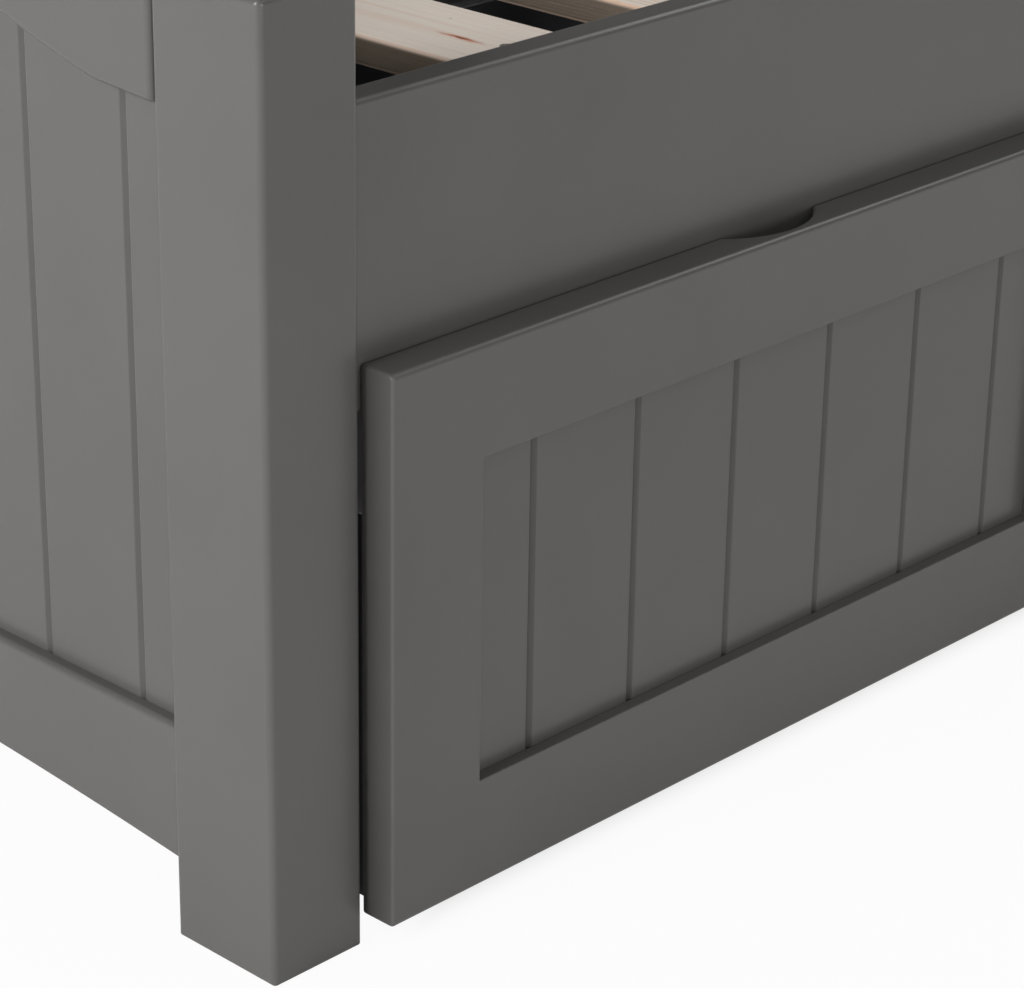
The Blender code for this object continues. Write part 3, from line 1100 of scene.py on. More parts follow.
@dataclass
class EndFrame:
    """One end between its posts: serpentine rail, grooved panel and arched low rail."""

    palette: Palette
    side: Side
    grooving: Grooving = field(default_factory=Grooving)
    edge_radius: float = 0.0040
    end_radius: float = 0.0046
    end_neck: float = 0.0039
    under_drop: float = 0.0018
    edge_steps: int = 6
    arris: float = 0.0006
    band: float = 0.057
    groove_margin: float = 0.0372
    groove_count: int = 10
    arch_end: float = 0.0474
    arch_rise: float = 0.0196
    ledge_radius: float = 0.0041
    ledge_steps: int = 8
    arch_steps: int = 48

    def __post_init__(self) -> None:
        """Read the places of the end from the frame."""
        front_low, front_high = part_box("front_post_" + self.side.label)
        _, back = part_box("back_post_" + self.side.label)
        self.front_y = front_low.y
        self.depth = back.y - front_low.y
        self.post_depth = front_high.y - front_low.y
        self.rail_low, self.rail_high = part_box("end_top_rail_" + self.side.label)
        self.panel_low, self.panel_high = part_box("end_panel_" + self.side.label)
        level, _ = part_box("back_top_rail")
        self.curve = Serpentine(self.depth, self.rail_low.z, level.z, self.post_depth)

    def build(self) -> None:
        """Make the rail, the panel and the low rail."""
        self.make_top_rail()
        self.make_panel()
        self.make_low_rail()

    def across(self, low: Vector, high: Vector) -> Point:
        """Outer and inner X of a piece of this end."""
        return (low.x, high.x) if self.side is Side.LEFT else (high.x, low.x)

    def slot_sides(self) -> Point:
        """Outer and inner X of the slots that take the panel."""
        outer, inner = self.across(self.panel_low, self.panel_high)
        return outer + self.side.value * FIT, inner - self.side.value * FIT

    def make_top_rail(self) -> None:
        """Sweep the rail's section along the serpentine edge."""
        rings = []
        for depth, inset in self.rail_stations():
            base = self.curve.lower_edge(depth)
            stretch = self.curve.stretch(depth)
            rings.append([(x, self.front_y + depth, base + up * stretch)
                          for x, up in self.rail_section(inset)])
        self.finish("end_top_rail", loft(rings))

    def rail_stations(self) -> list[Point]:
        """Depths of the top rail's sections, and how far each one is drawn in.

        Returns:
            The stations from post to post, with a rounded end and a short neck at each.
        """
        start, end = self.post_depth + FIT, self.depth - self.post_depth - FIT
        reach = self.end_neck + self.end_radius
        stations = [(depth, 0.0) for depth in self.curve.stations()
                    if start + reach < depth < end - reach]
        stations += [(start, self.end_radius), (end, self.end_radius)]
        for short, inset in quarter_turn(self.edge_steps):
            along = self.end_neck + self.end_radius * short
            stations += [(start + along, self.end_radius * inset),
                         (end - along, self.end_radius * inset)]
        return sorted(stations)

    def rail_section(self, inset: float) -> list[Point]:
        """Section of the top rail with its two faces drawn in by a length."""
        outer, inner = self.across(self.rail_low, self.rail_high)
        outer -= self.side.value * inset
        inner += self.side.value * inset
        near, far = self.slot_sides()
        notch = HOUSING_DEPTH + FIT
        bottom, radius = -self.under_drop, self.edge_radius
        top = self.band - min(inset, self.arris)
        return rounded_section([
            (outer, bottom, radius), (near, bottom, 0), (near, notch, 0), (far, notch, 0),
            (far, bottom, 0), (inner, bottom, radius), (inner, top, radius),
            (outer, top, radius)], self.edge_steps)

    def make_panel(self) -> None:
        """Skin the panel, grooved on both faces, up to its curved top edge."""
        half = self.depth / 2 - self.post_depth + HOUSING_DEPTH
        clear = self.depth - 2 * self.post_depth
        grooves = self.grooving.stations(
            half, self.grooving.places(clear, self.groove_margin, self.groove_count))
        outer, inner = self.across(self.panel_low, self.panel_high)
        rings = []
        for along, dip in self.with_curve(grooves):
            y = self.front_y + self.depth / 2 + along
            top = self.curve.lower_edge(along + self.depth / 2) + HOUSING_DEPTH
            face = outer - self.side.value * dip
            back = inner + self.side.value * dip
            low = self.panel_low.z
            rings.append([(face, y, low), (back, y, low), (back, y, top), (face, y, top)])
        self.finish("end_panel", loft(rings))

    def with_curve(self, grooves: Sequence[Point]) -> list[Point]:
        """Add the curve's stations that fall on the flats between grooves."""
        kept = list(grooves)
        for depth in self.curve.stations():
            place = depth - self.depth / 2
            for (start, dip), (end, after) in zip(grooves, grooves[1:]):
                if start < place < end and dip == after == 0:
                    kept.append((place, 0.0))
        return sorted(kept)

    def make_low_rail(self) -> None:
        """Sweep the low rail, its ledge rounded on the outside and its foot arched."""
        low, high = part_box("end_low_rail_" + self.side.label)
        outer, inner = self.across(low, high)
        near, far = self.slot_sides()
        notch = high.z - HOUSING_DEPTH - FIT
        rings = []
        for step in range(self.arch_steps + 1):
            share = step / self.arch_steps
            foot = self.arch_end + self.arch_rise * 4 * share * (1 - share)
            section = rounded_section([
                (outer, foot, self.arris), (inner, foot, self.arris),
                (inner, high.z, self.arris), (far, high.z, 0), (far, notch, 0),
                (near, notch, 0), (near, high.z, 0), (outer, high.z, self.ledge_radius)],
                self.ledge_steps)
            y = low.y + (high.y - low.y) * share
            rings.append([(x, y, z) for x, z in section])
        self.finish("end_low_rail", loft(rings))

    def finish(self, kind: str, shell: Shell) -> None:
        """Complete a lacquered piece of this end."""
        lacquer(self.palette, f"{kind}_{self.side.label}", shell)


@dataclass
class LongSides:
    """Rails along the front and back, the grooved back and the bearers for the slats."""

    palette: Palette
    grooving: Grooving = field(default_factory=Grooving)
    rail_radius: float = 0.0035
    top_rail_radius: float = 0.0040
    bearer_radius: float = 0.0015
    bearer_seed: float = 3.7
    arc_steps: int = 5
    groove_margin: float = 0.0513
    groove_count: int = 24

    def build(self) -> None:
        """Make the rails, the back and the bearers."""
        self.first, self.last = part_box("back_panel")
        self.make_front_rail()
        self.make_back_rail()
        self.make_back_top_rail()
        self.make_back_panel()
        for index, row in enumerate(Row):
            self.make_bearer(row, self.bearer_seed + index)

    def make_front_rail(self) -> None:
        """Plain rail with all four long edges rounded."""
        low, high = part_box("front_side_rail")
        lacquer(self.palette, "front_side_rail",
                plank(low, high, Axis.X, self.rail_radius, self.arc_steps))

    def make_back_rail(self) -> None:
        """Rail with a housing in its top edge for the back panel."""
        low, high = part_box("back_side_rail")
        notch = high.z - HOUSING_DEPTH - FIT
        radius = self.rail_radius
        section = rounded_section([
            (low.y, low.z, radius), (high.y, low.z, radius), (high.y, high.z, radius),
            (self.last.y + FIT, high.z, 0), (self.last.y + FIT, notch, 0),
            (self.first.y - FIT, notch, 0), (self.first.y - FIT, high.z, 0),
            (low.y, high.z, radius)], self.arc_steps)
        lacquer(self.palette, "back_side_rail", draw_out(section, Axis.X, low.x, high.x))

    def make_back_top_rail(self) -> None:
        """Rail over the back with a housing in its lower edge."""
        low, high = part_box("back_top_rail")
        notch = low.z + HOUSING_DEPTH + FIT
        radius = self.top_rail_radius
        section = rounded_section([
            (low.y, low.z, radius), (self.first.y - FIT, low.z, 0),
            (self.first.y - FIT, notch, 0), (self.last.y + FIT, notch, 0),
            (self.last.y + FIT, low.z, 0), (high.y, low.z, radius),
            (high.y, high.z, radius), (low.y, high.z, radius)], self.arc_steps)
        lacquer(self.palette, "back_top_rail", draw_out(section, Axis.X, low.x, high.x))

    def make_back_panel(self) -> None:
        """Grooved panel that fills the back."""
        low, high = self.first, self.last
        half = (high.x - low.x) / 2
        clear = 2 * (half - HOUSING_DEPTH)
        stations = self.grooving.stations(
            half, self.grooving.places(clear, self.groove_margin, self.groove_count))
        rings = [[(x, high.y - dip, low.z), (x, low.y + dip, low.z),
                  (x, low.y + dip, high.z), (x, high.y - dip, high.z)]
                 for x, dip in stations]
        lacquer(self.palette, "back_panel", loft(rings))

    def make_bearer(self, row: Row, seed: float) -> None:
        """Pine batten that carries the slat ends.

        Args:
            row: Front or back.
            seed: Number that sets its grain apart.
        """
        node = row.label + "_bearer"
        low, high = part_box(node)
        piece = link_shell("pine_" + node,
                           plank(low, high, Axis.X, self.bearer_radius, self.arc_steps))
        mark_board(piece, seed)
        complete(piece, self.palette.pine, BED_BODY, [node])


class NodeTree:
    """A Geometry Nodes tree with named inputs, finished as plain mesh on one object."""

    def __init__(self, name: str, kinds: dict[str, str]) -> None:
        """Start a tree.

        Args:
            name: Name of the tree.
            kinds: Input names, each with the last word of its socket type.
        """
        self.tree = bpy.data.node_groups.new(name, "GeometryNodeTree")
        for way in ("INPUT", "OUTPUT"):
            self.tree.interface.new_socket("Geometry", in_out=way,
                                           socket_type="NodeSocketGeometry")
        self.identifiers = {
            label: self.tree.interface.new_socket(
                label, in_out="INPUT", socket_type="NodeSocket" + kind).identifier
            for label, kind in kinds.items()}
        self.given = self.tree.nodes.new("NodeGroupInput").outputs

    def add(self, kind: str, settings: dict | None = None, inputs: dict | None = None) -> Node:
        """Add a node to this tree."""
        return add_node(self.tree, kind, settings, inputs)

    def close(self, instances: Socket) -> None:
        """Realize the instances, give them their finish and wire the output."""
        real = self.add("GeometryNodeRealizeInstances", inputs={0: instances})
        done = self.add("GeometryNodeSetMaterial", inputs={
            "Geometry": real.outputs[0], "Material": self.given["Material"]})
        self.add("NodeGroupOutput", inputs={0: done.outputs[0]})

    def run(self, item: Item, values: dict[str, object]) -> None:
        """Run the tree on an object and keep the result as plain mesh.

        Args:
            item: Object whose mesh goes in.
            values: Input names with their values.
        """
        modifier = item.modifiers.new(self.tree.name, "NODES")
        modifier.node_group = self.tree
        for name, value in values.items():
            modifier[self.identifiers[name]] = value
        settle(item)


class SlatTree(NodeTree):
    """Row of equal slats with rounded long edges, each with its own grain."""

    def __init__(self) -> None:
        """Build the tree."""
        super().__init__("slat_row", {
            "Count": "Int", "Pitch": "Float", "Width": "Float", "Thickness": "Float",
            "Length": "Float", "Edge Radius": "Float", "Edge Steps": "Int",
            "Start": "Vector", "Seed": "Int", "Material": "Material"})
        offset = self.add("ShaderNodeCombineXYZ", inputs={"X": self.given["Pitch"]})
        row = self.add("GeometryNodeMeshLine", {"mode": "OFFSET"}, {
            "Count": self.given["Count"], "Start Location": self.given["Start"],
            "Offset": offset.outputs[0]})
        slats = self.add("GeometryNodeInstanceOnPoints", inputs={
            "Points": row.outputs[0], "Instance": self.slat()})
        number = self.add("GeometryNodeInputIndex")
        tone = self.add("FunctionNodeRandomValue", {"data_type": "FLOAT"}, {
            2: 0.0, 3: 1.0, "ID": number.outputs[0], "Seed": self.given["Seed"]})
        toned = self.store("board_seed", "FLOAT", "INSTANCE", slats.outputs[0],
                           tone.outputs[1])
        self.close(toned)

    def store(self, name: str, kind: str, domain: str, geometry: Socket, value: Socket
              ) -> Socket:
        """Store a named value on a geometry.

        Args:
            name: Name of the attribute.
            kind: Its data type.
            domain: What carries it.
            geometry: Geometry that goes in.
            value: The value.

        Returns:
            The geometry with the value.
        """
        node = self.add("GeometryNodeStoreNamedAttribute", {"data_type": kind, "domain": domain},
                        {"Geometry": geometry, "Name": name, "Value": value})
        return node.outputs[0]

    def slat(self) -> Socket:
        """One slat about its middle, with its own coordinates stored for the grain."""
        half = self.add("ShaderNodeMath", {"operation": "MULTIPLY"},
                        {0: self.given["Length"], 1: 0.5})
        back = self.add("ShaderNodeCombineXYZ", inputs={"Y": half.outputs[0]})
        front = self.add("ShaderNodeVectorMath", {"operation": "SCALE"},
                         {0: back.outputs[0], "Scale": -1.0})
        path = self.add("GeometryNodeCurvePrimitiveLine", inputs={
            "Start": front.outputs[0], "End": back.outputs[0]})
        outline = self.add("GeometryNodeCurvePrimitiveQuadrilateral", inputs={
            "Width": self.given["Width"], "Height": self.given["Thickness"]})
        rounded = self.add("GeometryNodeFilletCurve", {"mode": "POLY"}, {
            "Curve": outline.outputs[0], "Count": self.given["Edge Steps"],
            "Radius": self.given["Edge Radius"]})
        body = self.add("GeometryNodeCurveToMesh", inputs={
            "Curve": path.outputs[0], "Profile Curve": rounded.outputs[0], "Fill Caps": True})
        place = self.add("GeometryNodeInputPosition")
        return self.store("board_place", "FLOAT_VECTOR", "POINT", body.outputs[0],
                          place.outputs[0])


class ScrewTree(NodeTree):
    """A screw head on every point, square to the face it is driven into, turned at random."""

    def __init__(self) -> None:
        """Build the tree."""
        super().__init__("driven_screws", {"Pattern": "Object", "Seed": "Int",
                                           "Material": "Material"})
        points = self.add("GeometryNodeMeshToPoints", inputs={"Mesh": self.given["Geometry"]})
        pattern = self.add("GeometryNodeObjectInfo", inputs={"Object": self.given["Pattern"]})
        facing = self.add("GeometryNodeInputNamedAttribute", {"data_type": "FLOAT_VECTOR"},
                          {"Name": "facing"})
        square = self.add("FunctionNodeAlignRotationToVector", {"axis": "Z"},
                          {"Vector": facing.outputs[0]})
        turn = self.add("FunctionNodeRandomValue", {"data_type": "FLOAT"}, {
            2: 0.0, 3: math.tau, "Seed": self.given["Seed"]})
        twist = self.add("FunctionNodeAxisAngleToRotation", inputs={
            "Axis": (0, 0, 1), "Angle": turn.outputs[1]})
        driven = self.add("FunctionNodeRotateRotation", {"rotation_space": "LOCAL"}, {
            "Rotation": square.outputs[0], "Rotate By": twist.outputs[0]})
        heads = self.add("GeometryNodeInstanceOnPoints", inputs={
            "Points": points.outputs[0], "Instance": pattern.outputs["Geometry"],
            "Rotation": driven.outputs[0]})
        self.close(heads.outputs[0])


@dataclass
class Screws:
    """Countersunk cross-head screws, driven wherever a place and a facing are given."""

    palette: Palette
    head_radius: float = 0.0038
    proud: float = 0.0002
    rim_share: float = 0.4
    cone_depth: float = 0.0026
    shank_radius: float = 0.0018
    cross_length: float = 0.0046
    cross_width: float = 0.0010
    cross_depth: float = 0.0016
    steps: int = 24
    seed: int = 11

    def __post_init__(self) -> None:
        """Make the tree and the pattern."""
        self.tree = ScrewTree()
        self.pattern = self.make_pattern()

    def make_pattern(self) -> Item:
        """Turn a head about Z and cut the cross into it."""
        profile = [(-self.cone_depth, self.shank_radius), (-self.proud, self.head_radius),
                   (self.proud * self.rim_share, self.head_radius),
                   (self.proud, self.head_radius - self.proud)]
        head = link_shell("screw_pattern", turned(profile, (0, 0, 0), Axis.Z, self.steps))
        long, wide = self.cross_length / 2, self.cross_width / 2
        cut_away(head, [box_shell((-a, -b, -self.cross_depth), (a, b, self.head_radius))
                        for a, b in ((long, wide), (wide, long))])
        shade(head)
        return head

    def drive(self, name: str, body: str, places: Sequence[tuple[Place, Place]]) -> None:
        """Drive a group of screws as one piece.

        Args:
            name: Name of the piece.
            body: Body that carries it.
            places: Place on the surface and outward direction of each screw.
        """
        mesh = bpy.data.meshes.new(name)
        mesh.from_pydata([place for place, _ in places], [], [])
        facing = mesh.attributes.new("facing", "FLOAT_VECTOR", "POINT")
        for index, (_, direction) in enumerate(places):
            facing.data[index].vector = direction
        item = link_item(name, mesh)
        self.tree.run(item, {"Pattern": self.pattern, "Seed": self.seed,
                             "Material": self.palette.zinc})
        hand_over(item, body, [])

    def put_away(self) -> None:
        """Remove the pattern once every screw is driven."""
        bpy.data.objects.remove(self.pattern)


@dataclass
class SlatBase:
    """Twelve pine slats laid from rail to rail and screwed down at both ends."""

    resin_marks: ClassVar[tuple[Place, ...]] = ((-0.8450, -0.3965, 0.0),)
    specks: ClassVar[tuple[Place, ...]] = ((-0.8206, -0.3648, 0.4742),)

    palette: Palette
    screws: Screws
    edge_radius: float = 0.0036
    edge_steps: int = 4
    screw_inset: float = 0.025
    seed: int = 4

    def build(self) -> None:
        """Make the slats and drive their screws."""
        names = sorted(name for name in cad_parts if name.startswith("slat_"))
        boxes = [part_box(name) for name in names]
        low, high = boxes[0]
        pitch = boxes[1][0].x - low.x
        middle = (low + high) / 2
        slats = link_item("pine_slats", bpy.data.meshes.new("pine_slats"))
        SlatTree().run(slats, {
            "Count": len(names), "Pitch": pitch, "Width": high.x - low.x,
            "Thickness": high.z - low.z, "Length": high.y - low.y,
            "Edge Radius": self.edge_radius, "Edge Steps": self.edge_steps,
            "Start": tuple(middle), "Seed": self.seed, "Material": self.palette.pine})
        shade(slats)
        hand_over(slats, BED_BODY, names)
        ends = (low.y + self.screw_inset, high.y - self.screw_inset)
        self.screws.drive("slat_screws", BED_BODY, [
            ((middle.x + index * pitch, y, high.z), (0, 0, 1))
            for index in range(len(names)) for y in ends])


@dataclass
class Rollers:
    """Four nylon rollers, each on its own body, and the zinc pins that carry them."""

    palette: Palette
    drawer: str
    bore: float = 0.0043
    hub: float = 0.0085
    rim: float = 0.0170
    web_depth: float = 0.0040
    lip_radius: float = 0.0006
    outer_round: float = 0.0020
    inner_round: float = 0.0012
    shank: float = 0.0040
    collar: float = 0.0080
    collar_width: float = 0.0030
    chamfer: float = 0.0004
    head: float = 0.0065
    head_width: float = 0.0025
    head_round: float = 0.0007
    head_back: float = 0.0003
    arc_steps: int = 6
    steps: int = 48

    def build(self) -> None:
        """Make every roller with its pin."""
        for side in Side:
            for word in ("front", "rear"):
                node = f"{self.drawer}_roller_{word}_{side.label}"
                self.make_roller(node, side)
                self.make_pin(node, side, word)

    def make_roller(self, node: str, side: Side) -> None:
        """Roller with a rounded tread, a sunk web and a hub.

        Args:
            node: The roller's node, which is also its body.
            side: Side of the drawer.
        """
        low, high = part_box(node)
        half, tread = (high.x - low.x) / 2, (high.z - low.z) / 2
        web = half - self.web_depth
        profile = rounded_section([
            (-half, self.bore, 0), (half, self.bore, 0), (half, self.hub, self.lip_radius),
            (web, self.hub, 0), (web, self.rim, 0), (half, self.rim, self.lip_radius),
            (half, tread, self.outer_round), (-half, tread, self.inner_round)], self.arc_steps)
        shell = self.turned_at(profile, low, high, side, looped=True)
        complete(link_shell("nylon_" + node, shell), self.palette.nylon, node, [node])

    def make_pin(self, node: str, side: Side, word: str) -> None:
        """Collared pin through a roller.

        Args:
            node: Node of the roller that it carries.
            side: Side of the drawer.
            word: Front or rear.
        """
        low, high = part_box(node)
        face = (high.x - low.x) / 2 + FIT
        profile = [(-face - self.collar_width, self.collar), (-face - self.chamfer, self.collar),
                   (-face, self.collar - self.chamfer), (-face, self.shank),
                   (face, self.shank), (face, self.head - self.head_back),
                   (face + self.chamfer, self.head),
                   (face + self.head_width - self.head_round, self.head),
                   (face + self.head_width, self.head - self.head_round)]
        shell = self.turned_at(profile, low, high, side, looped=False)
        complete(link_shell(f"zinc_{self.drawer}_pin_{word}_{side.label}", shell),
                 self.palette.zinc, self.drawer, [])

    def turned_at(self, profile: Sequence[Point], low: Vector, high: Vector, side: Side,
                  looped: bool) -> Shell:
        """Turn a profile about a roller's axis, its head towards the inside.

        Args:
            profile: Length along the axis and radius of each point.
            low: Lowest corner of the roller.
            high: Highest corner of the roller.
            side: Side of the drawer.
            looped: Whether the profile closes on itself round a bore.

        Returns:
            The turned shell.
        """
        flipped = [(-side.value * along, radius) for along, radius in profile]
        return turned(flipped, (low + high) / 2, Axis.X, self.steps, looped)


@dataclass
class Drawer:
    """A roll-out drawer: framed front with a grooved panel, foil-faced box, floor rollers."""

    palette: Palette
    number: int
    grooving: Grooving = field(default_factory=lambda: Grooving(depth=0.0029))
    edge_radius: float = 0.0034
    corner_radius: float = 0.0022
    corner_ease: float = 0.4
    upright_radius: float = 0.0020
    back_radius: float = 0.0020
    back_steps: int = 4
    edge_steps: int = 6
    corner_steps: int = 6
    arris: float = 0.0006
    stile: float = 0.0681
    bottom_rail: float = 0.0677
    top_rail: float = 0.0653
    recess: float = 0.0081
    rebate: float = 0.010
    groove_margin: float = 0.0474
    groove_count: int = 6
    pull_width: float = 0.084
    pull_reach: float = 0.0173
    pull_depth: float = 0.0366
    pull_lip: float = 0.0025
    pull_steps: int = 160
    board_radius: float = 0.0012

    def build(self) -> None:
        """Make the front, the box and the rollers."""
        self.name = f"drawer_{self.number}"
        self.front_low, self.front_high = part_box(self.name + "_front_frame")
        self.make_frame()
        self.make_panel()
        self.make_sides()
        self.make_board("back", Axis.X, self.board_radius)
        self.make_board("bottom", Axis.Y, self.arris)
        Rollers(self.palette, self.name).build()

    def rectangle(self, low: Point, high: Point, inset: float, y: float, radius: float,
                  side_inset: float | None = None) -> list[Place]:
        """One loop of the frame, an inset rectangle with rounded corners.

        Args:
            low: Left and bottom of the rectangle before the inset.
            high: Right and top of the rectangle before the inset.
            inset: Distance inward from those.
            y: Where the loop lies in depth.
            radius: Radius of its corners.
            side_inset: Distance inward at the left and right, when it differs.

        Returns:
            The loop's points.
        """
        aside = inset if side_inset is None else side_inset
        left, bottom = low[0] + aside, low[1] + inset
        right, top = high[0] - aside, high[1] - inset
        corners = ((right, top, 0), (left, top, 90), (left, bottom, 180), (right, bottom, 270))
        loop = []
        for x, z, start in corners:
            middle_x = x - radius if start in (0, 270) else x + radius
            middle_z = z - radius if start in (0, 90) else z + radius
            for step in range(self.corner_steps + 1):
                angle = math.radians(start + 90 * step / self.corner_steps)
                loop.append((middle_x + radius * math.cos(angle), y,
                             middle_z + radius * math.sin(angle)))
        return loop

    def make_frame(self) -> None:
        """Skin the frame from loops that run round it, then scoop out the finger pull."""
        low, high = self.front_low, self.front_high
        outer = ((low.x, low.z), (high.x, high.z))
        opening = ((low.x + self.stile, low.z + self.bottom_rail),
                   (high.x - self.stile, high.z - self.top_rail))
        front, back = low.y, high.y
        corner, fine, seat = self.corner_radius, self.arris, self.rebate + FIT
        loops = []
        for short, rise in quarter_turn(self.back_steps):
            inset = self.back_radius * short
            loops.append(self.rectangle(*outer, inset, back - self.back_radius * rise,
                                        corner - inset))
        for short, rise in quarter_turn(self.edge_steps):
            depth = self.edge_radius * short
            loops.append(self.rectangle(*outer, self.edge_radius * rise, front + depth,
                                        corner * (1 - self.corner_ease * rise),
                                        self.upright_inset(depth)))
        for short, rise in quarter_turn(self.edge_steps):
            loops.append(self.rectangle(*opening, -fine * short, front + fine * rise, fine))
        loops += [self.rectangle(*opening, 0, front + self.recess, fine),
                  self.rectangle(*opening, -seat, front + self.recess, fine),
                  self.rectangle(*opening, -seat, back, fine)]
        piece = link_shell(f"lacquered_{self.name}_frame", loft(loops, looped=True))
        cut_away(piece, [self.pull_tool(back, high.z), self.bottom_housing(back)])
        complete(piece, self.palette.lacquer, self.name, [self.name + "_front_frame"])

    def upright_inset(self, depth: float) -> float:
        """How far an upright edge's rounding is drawn in at a depth behind the face."""
        left = max(self.upright_radius - depth, 0.0)
        return self.upright_radius - math.sqrt(self.upright_radius ** 2 - left ** 2)

    def pull_tool(self, back: float, top: float) -> Shell:
        """Drum that scoops the finger pull out of the back of the top rail, flared at its lip.

        Args:
            back: Back face of the frame.
            top: Top of the frame.

        Returns:
            The tool.
        """
        radius = (self.pull_width ** 2 / 4 + self.pull_reach ** 2) / (2 * self.pull_reach)
        middle = ((self.front_low.x + self.front_high.x) / 2, back - self.pull_reach + radius, 0)
        profile = [(top - self.pull_depth, radius)]
        profile += [(top - self.pull_lip * short, radius + self.pull_lip * rise)
                    for short, rise in quarter_turn(self.edge_steps)]
        profile.append((top + OVERRUN, radius + self.pull_lip))
        return turned(profile, middle, Axis.Z, self.pull_steps)

    def bottom_housing(self, back: float) -> Shell:
        """Tool for the slot that takes the drawer bottom."""
        low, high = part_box(self.name + "_bottom")
        return box_shell((low.x - FIT, low.y - FIT, low.z - FIT),
                         (high.x + FIT, back + OVERRUN, high.z + FIT))

    def make_panel(self) -> None:
        """Grooved panel let into the frame's rebate."""
        node = self.name + "_front_panel"
        low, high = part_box(node)
        half = (high.x - low.x) / 2
        middle = (high.x + low.x) / 2
        places = self.grooving.places(2 * (half - self.rebate), self.groove_margin,
                                      self.groove_count)
        rings = [[(middle + along, low.y + dip, low.z), (middle + along, high.y, low.z),
                  (middle + along, high.y, high.z), (middle + along, low.y + dip, high.z)]
                 for along, dip in self.grooving.stations(half, places)]
        complete(link_shell(f"lacquered_{self.name}_panel", loft(rings)), self.palette.lacquer,
                 self.name, [node])

    def make_sides(self) -> None:
        """Both side boards, each with a slot for the bottom."""
        bottom_low, bottom_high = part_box(self.name + "_bottom")
        back_low, back_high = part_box(self.name + "_back")
        under, over = bottom_low.z - FIT, bottom_high.z + FIT
        for side in Side:
            node = f"{self.name}_side_{side.label}"
            low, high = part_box(node)
            if side is Side.LEFT:
                outer, inner, slot = low.x, back_low.x - FIT, bottom_low.x - FIT
            else:
                outer, inner, slot = high.x, back_high.x + FIT, bottom_high.x + FIT
            radius = self.board_radius
            section = rounded_section([
                (outer, low.z, radius), (inner, low.z, radius), (inner, under, 0),
                (slot, under, 0), (slot, over, 0), (inner, over, 0),
                (inner, high.z, radius), (outer, high.z, radius)], self.edge_steps)
            self.finish_board(node, draw_out(section, Axis.Y, low.y, high.y))

    def make_board(self, word: str, axis: Axis, radius: float) -> None:
        """Make the plain board across the back, or the thin bottom."""
        node = f"{self.name}_{word}"
        low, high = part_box(node)
        self.finish_board(node, plank(low, high, axis, radius, self.edge_steps))

    def finish_board(self, node: str, shell: Shell) -> None:
        """Complete a board of the box."""
        complete(link_shell("board_" + node, shell), self.palette.board, self.name, [node])


@dataclass(frozen=True)
class Softbox:
    """A large soft lamp that no camera sees."""

    name: str
    place: Place
    width: float
    height: float
    watts: float
    target: Place = (-0.6, -0.3, 0.3)

    def build(self) -> None:
        """Make the lamp and aim it."""
        data = bpy.data.lights.new(self.name, "AREA")
        data.shape = "RECTANGLE"
        data.size = self.width
        data.size_y = self.height
        data.energy = self.watts
        lamp = link_item(self.name, data)
        lamp.location = self.place
        aim = Vector(self.target) - Vector(self.place)
        lamp.rotation_euler = aim.to_track_quat("-Z", "Y").to_euler()
        lamp.visible_camera = False


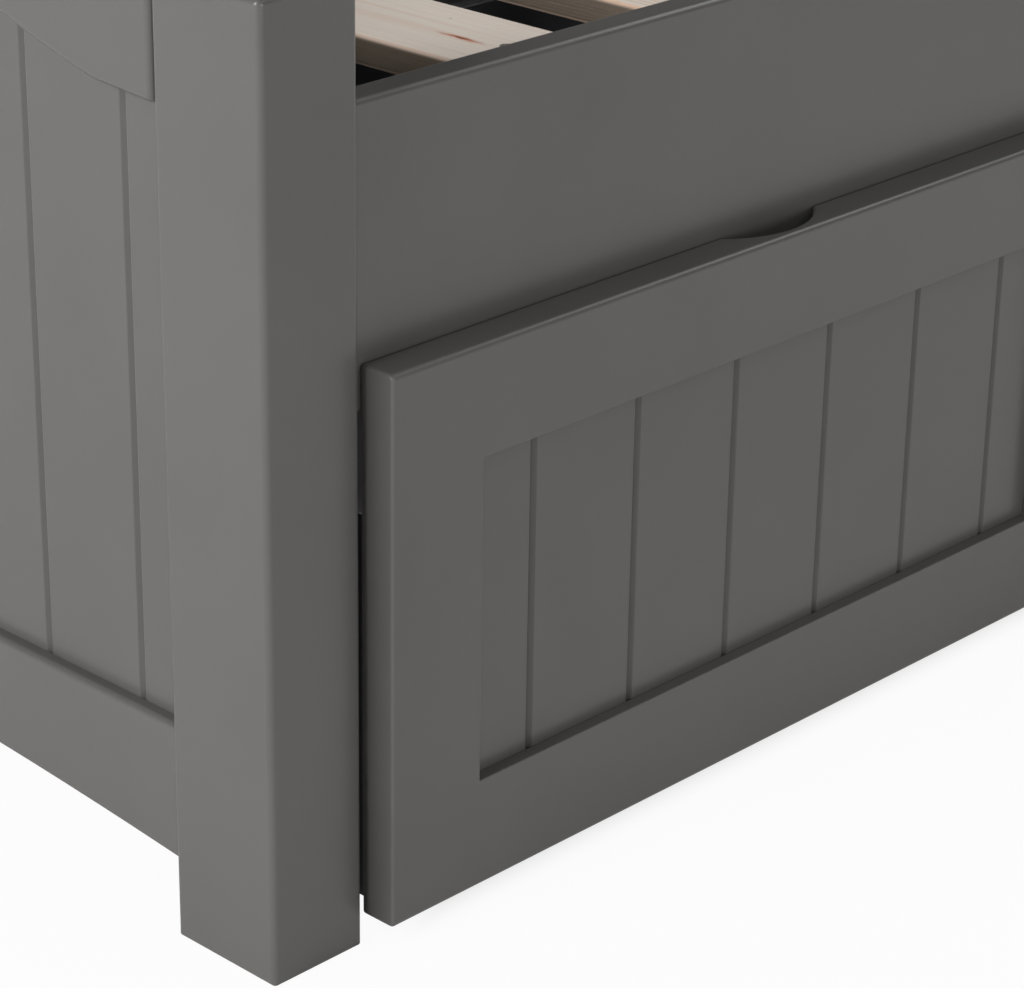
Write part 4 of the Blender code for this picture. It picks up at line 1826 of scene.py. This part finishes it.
@dataclass
class Studio:
    """Camera at the photograph's angle, pale floor, even room light and soft lamps."""

    camera_place: Place = (-2.10362, -1.62907, 0.96200)
    camera_turn: float = 44.4586
    camera_dip: float = 24.0202
    lens: float = 116.08
    sensor: float = 36.0
    shift: Point = (0.1131, 0.0386)
    clip: Point = (0.05, 200)
    floor_half: float = 60.0
    room_light: float = 0.02
    cove: Point = (0.02, 0.14)
    lamps: tuple[Softbox, ...] = (
        Softbox("left_softbox", (-4.84, -0.04, 2.32), 2.4, 1.8, 164),
        Softbox("left_low_softbox", (-5.2, 0.6, 1.2), 3.0, 2.0, 55),
        Softbox("front_softbox", (-1.0, -5.2, 0.9), 1.4, 1.7, 64),
        Softbox("front_high_softbox", (0.50, -2.91, 2.68), 1.2, 1.2, 12),
        Softbox("corner_high_softbox", (-2.81, -2.40, 3.02), 1.2, 1.2, 13),
        Softbox("top_back_softbox", (-0.3, 1.6, 3.3), 2.2, 1.4, 26, (-0.3, 0.0, 0.3)),
        Softbox("right_high_softbox", (2.34, -0.62, 3.00), 2.8, 0.9, 24),
        Softbox("right_softbox", (5.2, 0.3, 1.4), 2.4, 1.8, 100, (0.0, 0.0, 0.3)),
        Softbox("back_softbox", (0.3, 5.2, 1.6), 3.0, 1.8, 100, (0.0, 0.0, 0.3)),
    )

    def build(self) -> None:
        """Make the stage."""
        self.make_camera()
        self.make_floor()
        self.make_room_light()
        for lamp in self.lamps:
            lamp.build()

    def make_camera(self) -> None:
        """Place the camera where the photograph was taken from."""
        data = bpy.data.cameras.new("photograph_camera")
        data.lens = self.lens
        data.sensor_width = self.sensor
        data.shift_x, data.shift_y = self.shift
        data.clip_start, data.clip_end = self.clip
        camera = link_item("photograph_camera", data)
        camera.location = self.camera_place
        camera.rotation_euler = (math.radians(90 - self.camera_dip), 0,
                                 -math.radians(self.camera_turn))
        bpy.context.scene.camera = camera

    def make_floor(self) -> None:
        """Lay the paper that the bed stands on."""
        half = self.floor_half
        mesh = bpy.data.meshes.new("paper_floor")
        mesh.from_pydata([(-half, -half, 0), (half, -half, 0), (half, half, 0),
                          (-half, half, 0)], [], [(0, 1, 2, 3)])
        floor = link_item("paper_floor", mesh)
        dress(floor, PaperFloor().make((cad_high[0], cad_high[1])))

    def make_room_light(self) -> None:
        """Light the room evenly, with a white surround for the eye.

        Gloss sees the white cove round the room and the dim ceiling above it.
        """
        world = bpy.data.worlds.new("pale_room")
        bpy.context.scene.world = world
        tree = cleared_tree(world)
        direction = add_node(tree, "ShaderNodeTexCoord").outputs["Generated"]
        height = add_node(tree, "ShaderNodeSeparateXYZ", inputs={0: direction}).outputs["Z"]
        cove = remap(tree, height, self.cove, (1, 0), smooth=True)
        strength = remap(tree, white_share(tree, 1.0, cove), (0, 1), (self.room_light, 1))
        room = add_node(tree, "ShaderNodeBackground",
                        inputs={"Color": (1, 1, 1, 1), "Strength": strength})
        add_node(tree, "ShaderNodeOutputWorld", inputs={"Surface": room.outputs[0]})


def main() -> None:
    """Build the daybed and its stage."""
    logging.basicConfig(level=logging.INFO, format="%(name)s: %(message)s")
    palette = Palette()
    screws = Screws(palette)
    Posts(palette).build()
    for side in Side:
        EndFrame(palette, side).build()
    LongSides(palette).build()
    SlatBase(palette, screws).build()
    for number in (1, 2, 3):
        Drawer(palette, number).build()
    screws.put_away()
    Studio().build()
    bpy.context.scene.view_settings.view_transform = "Standard"


if __name__ == "__main__":
    main()
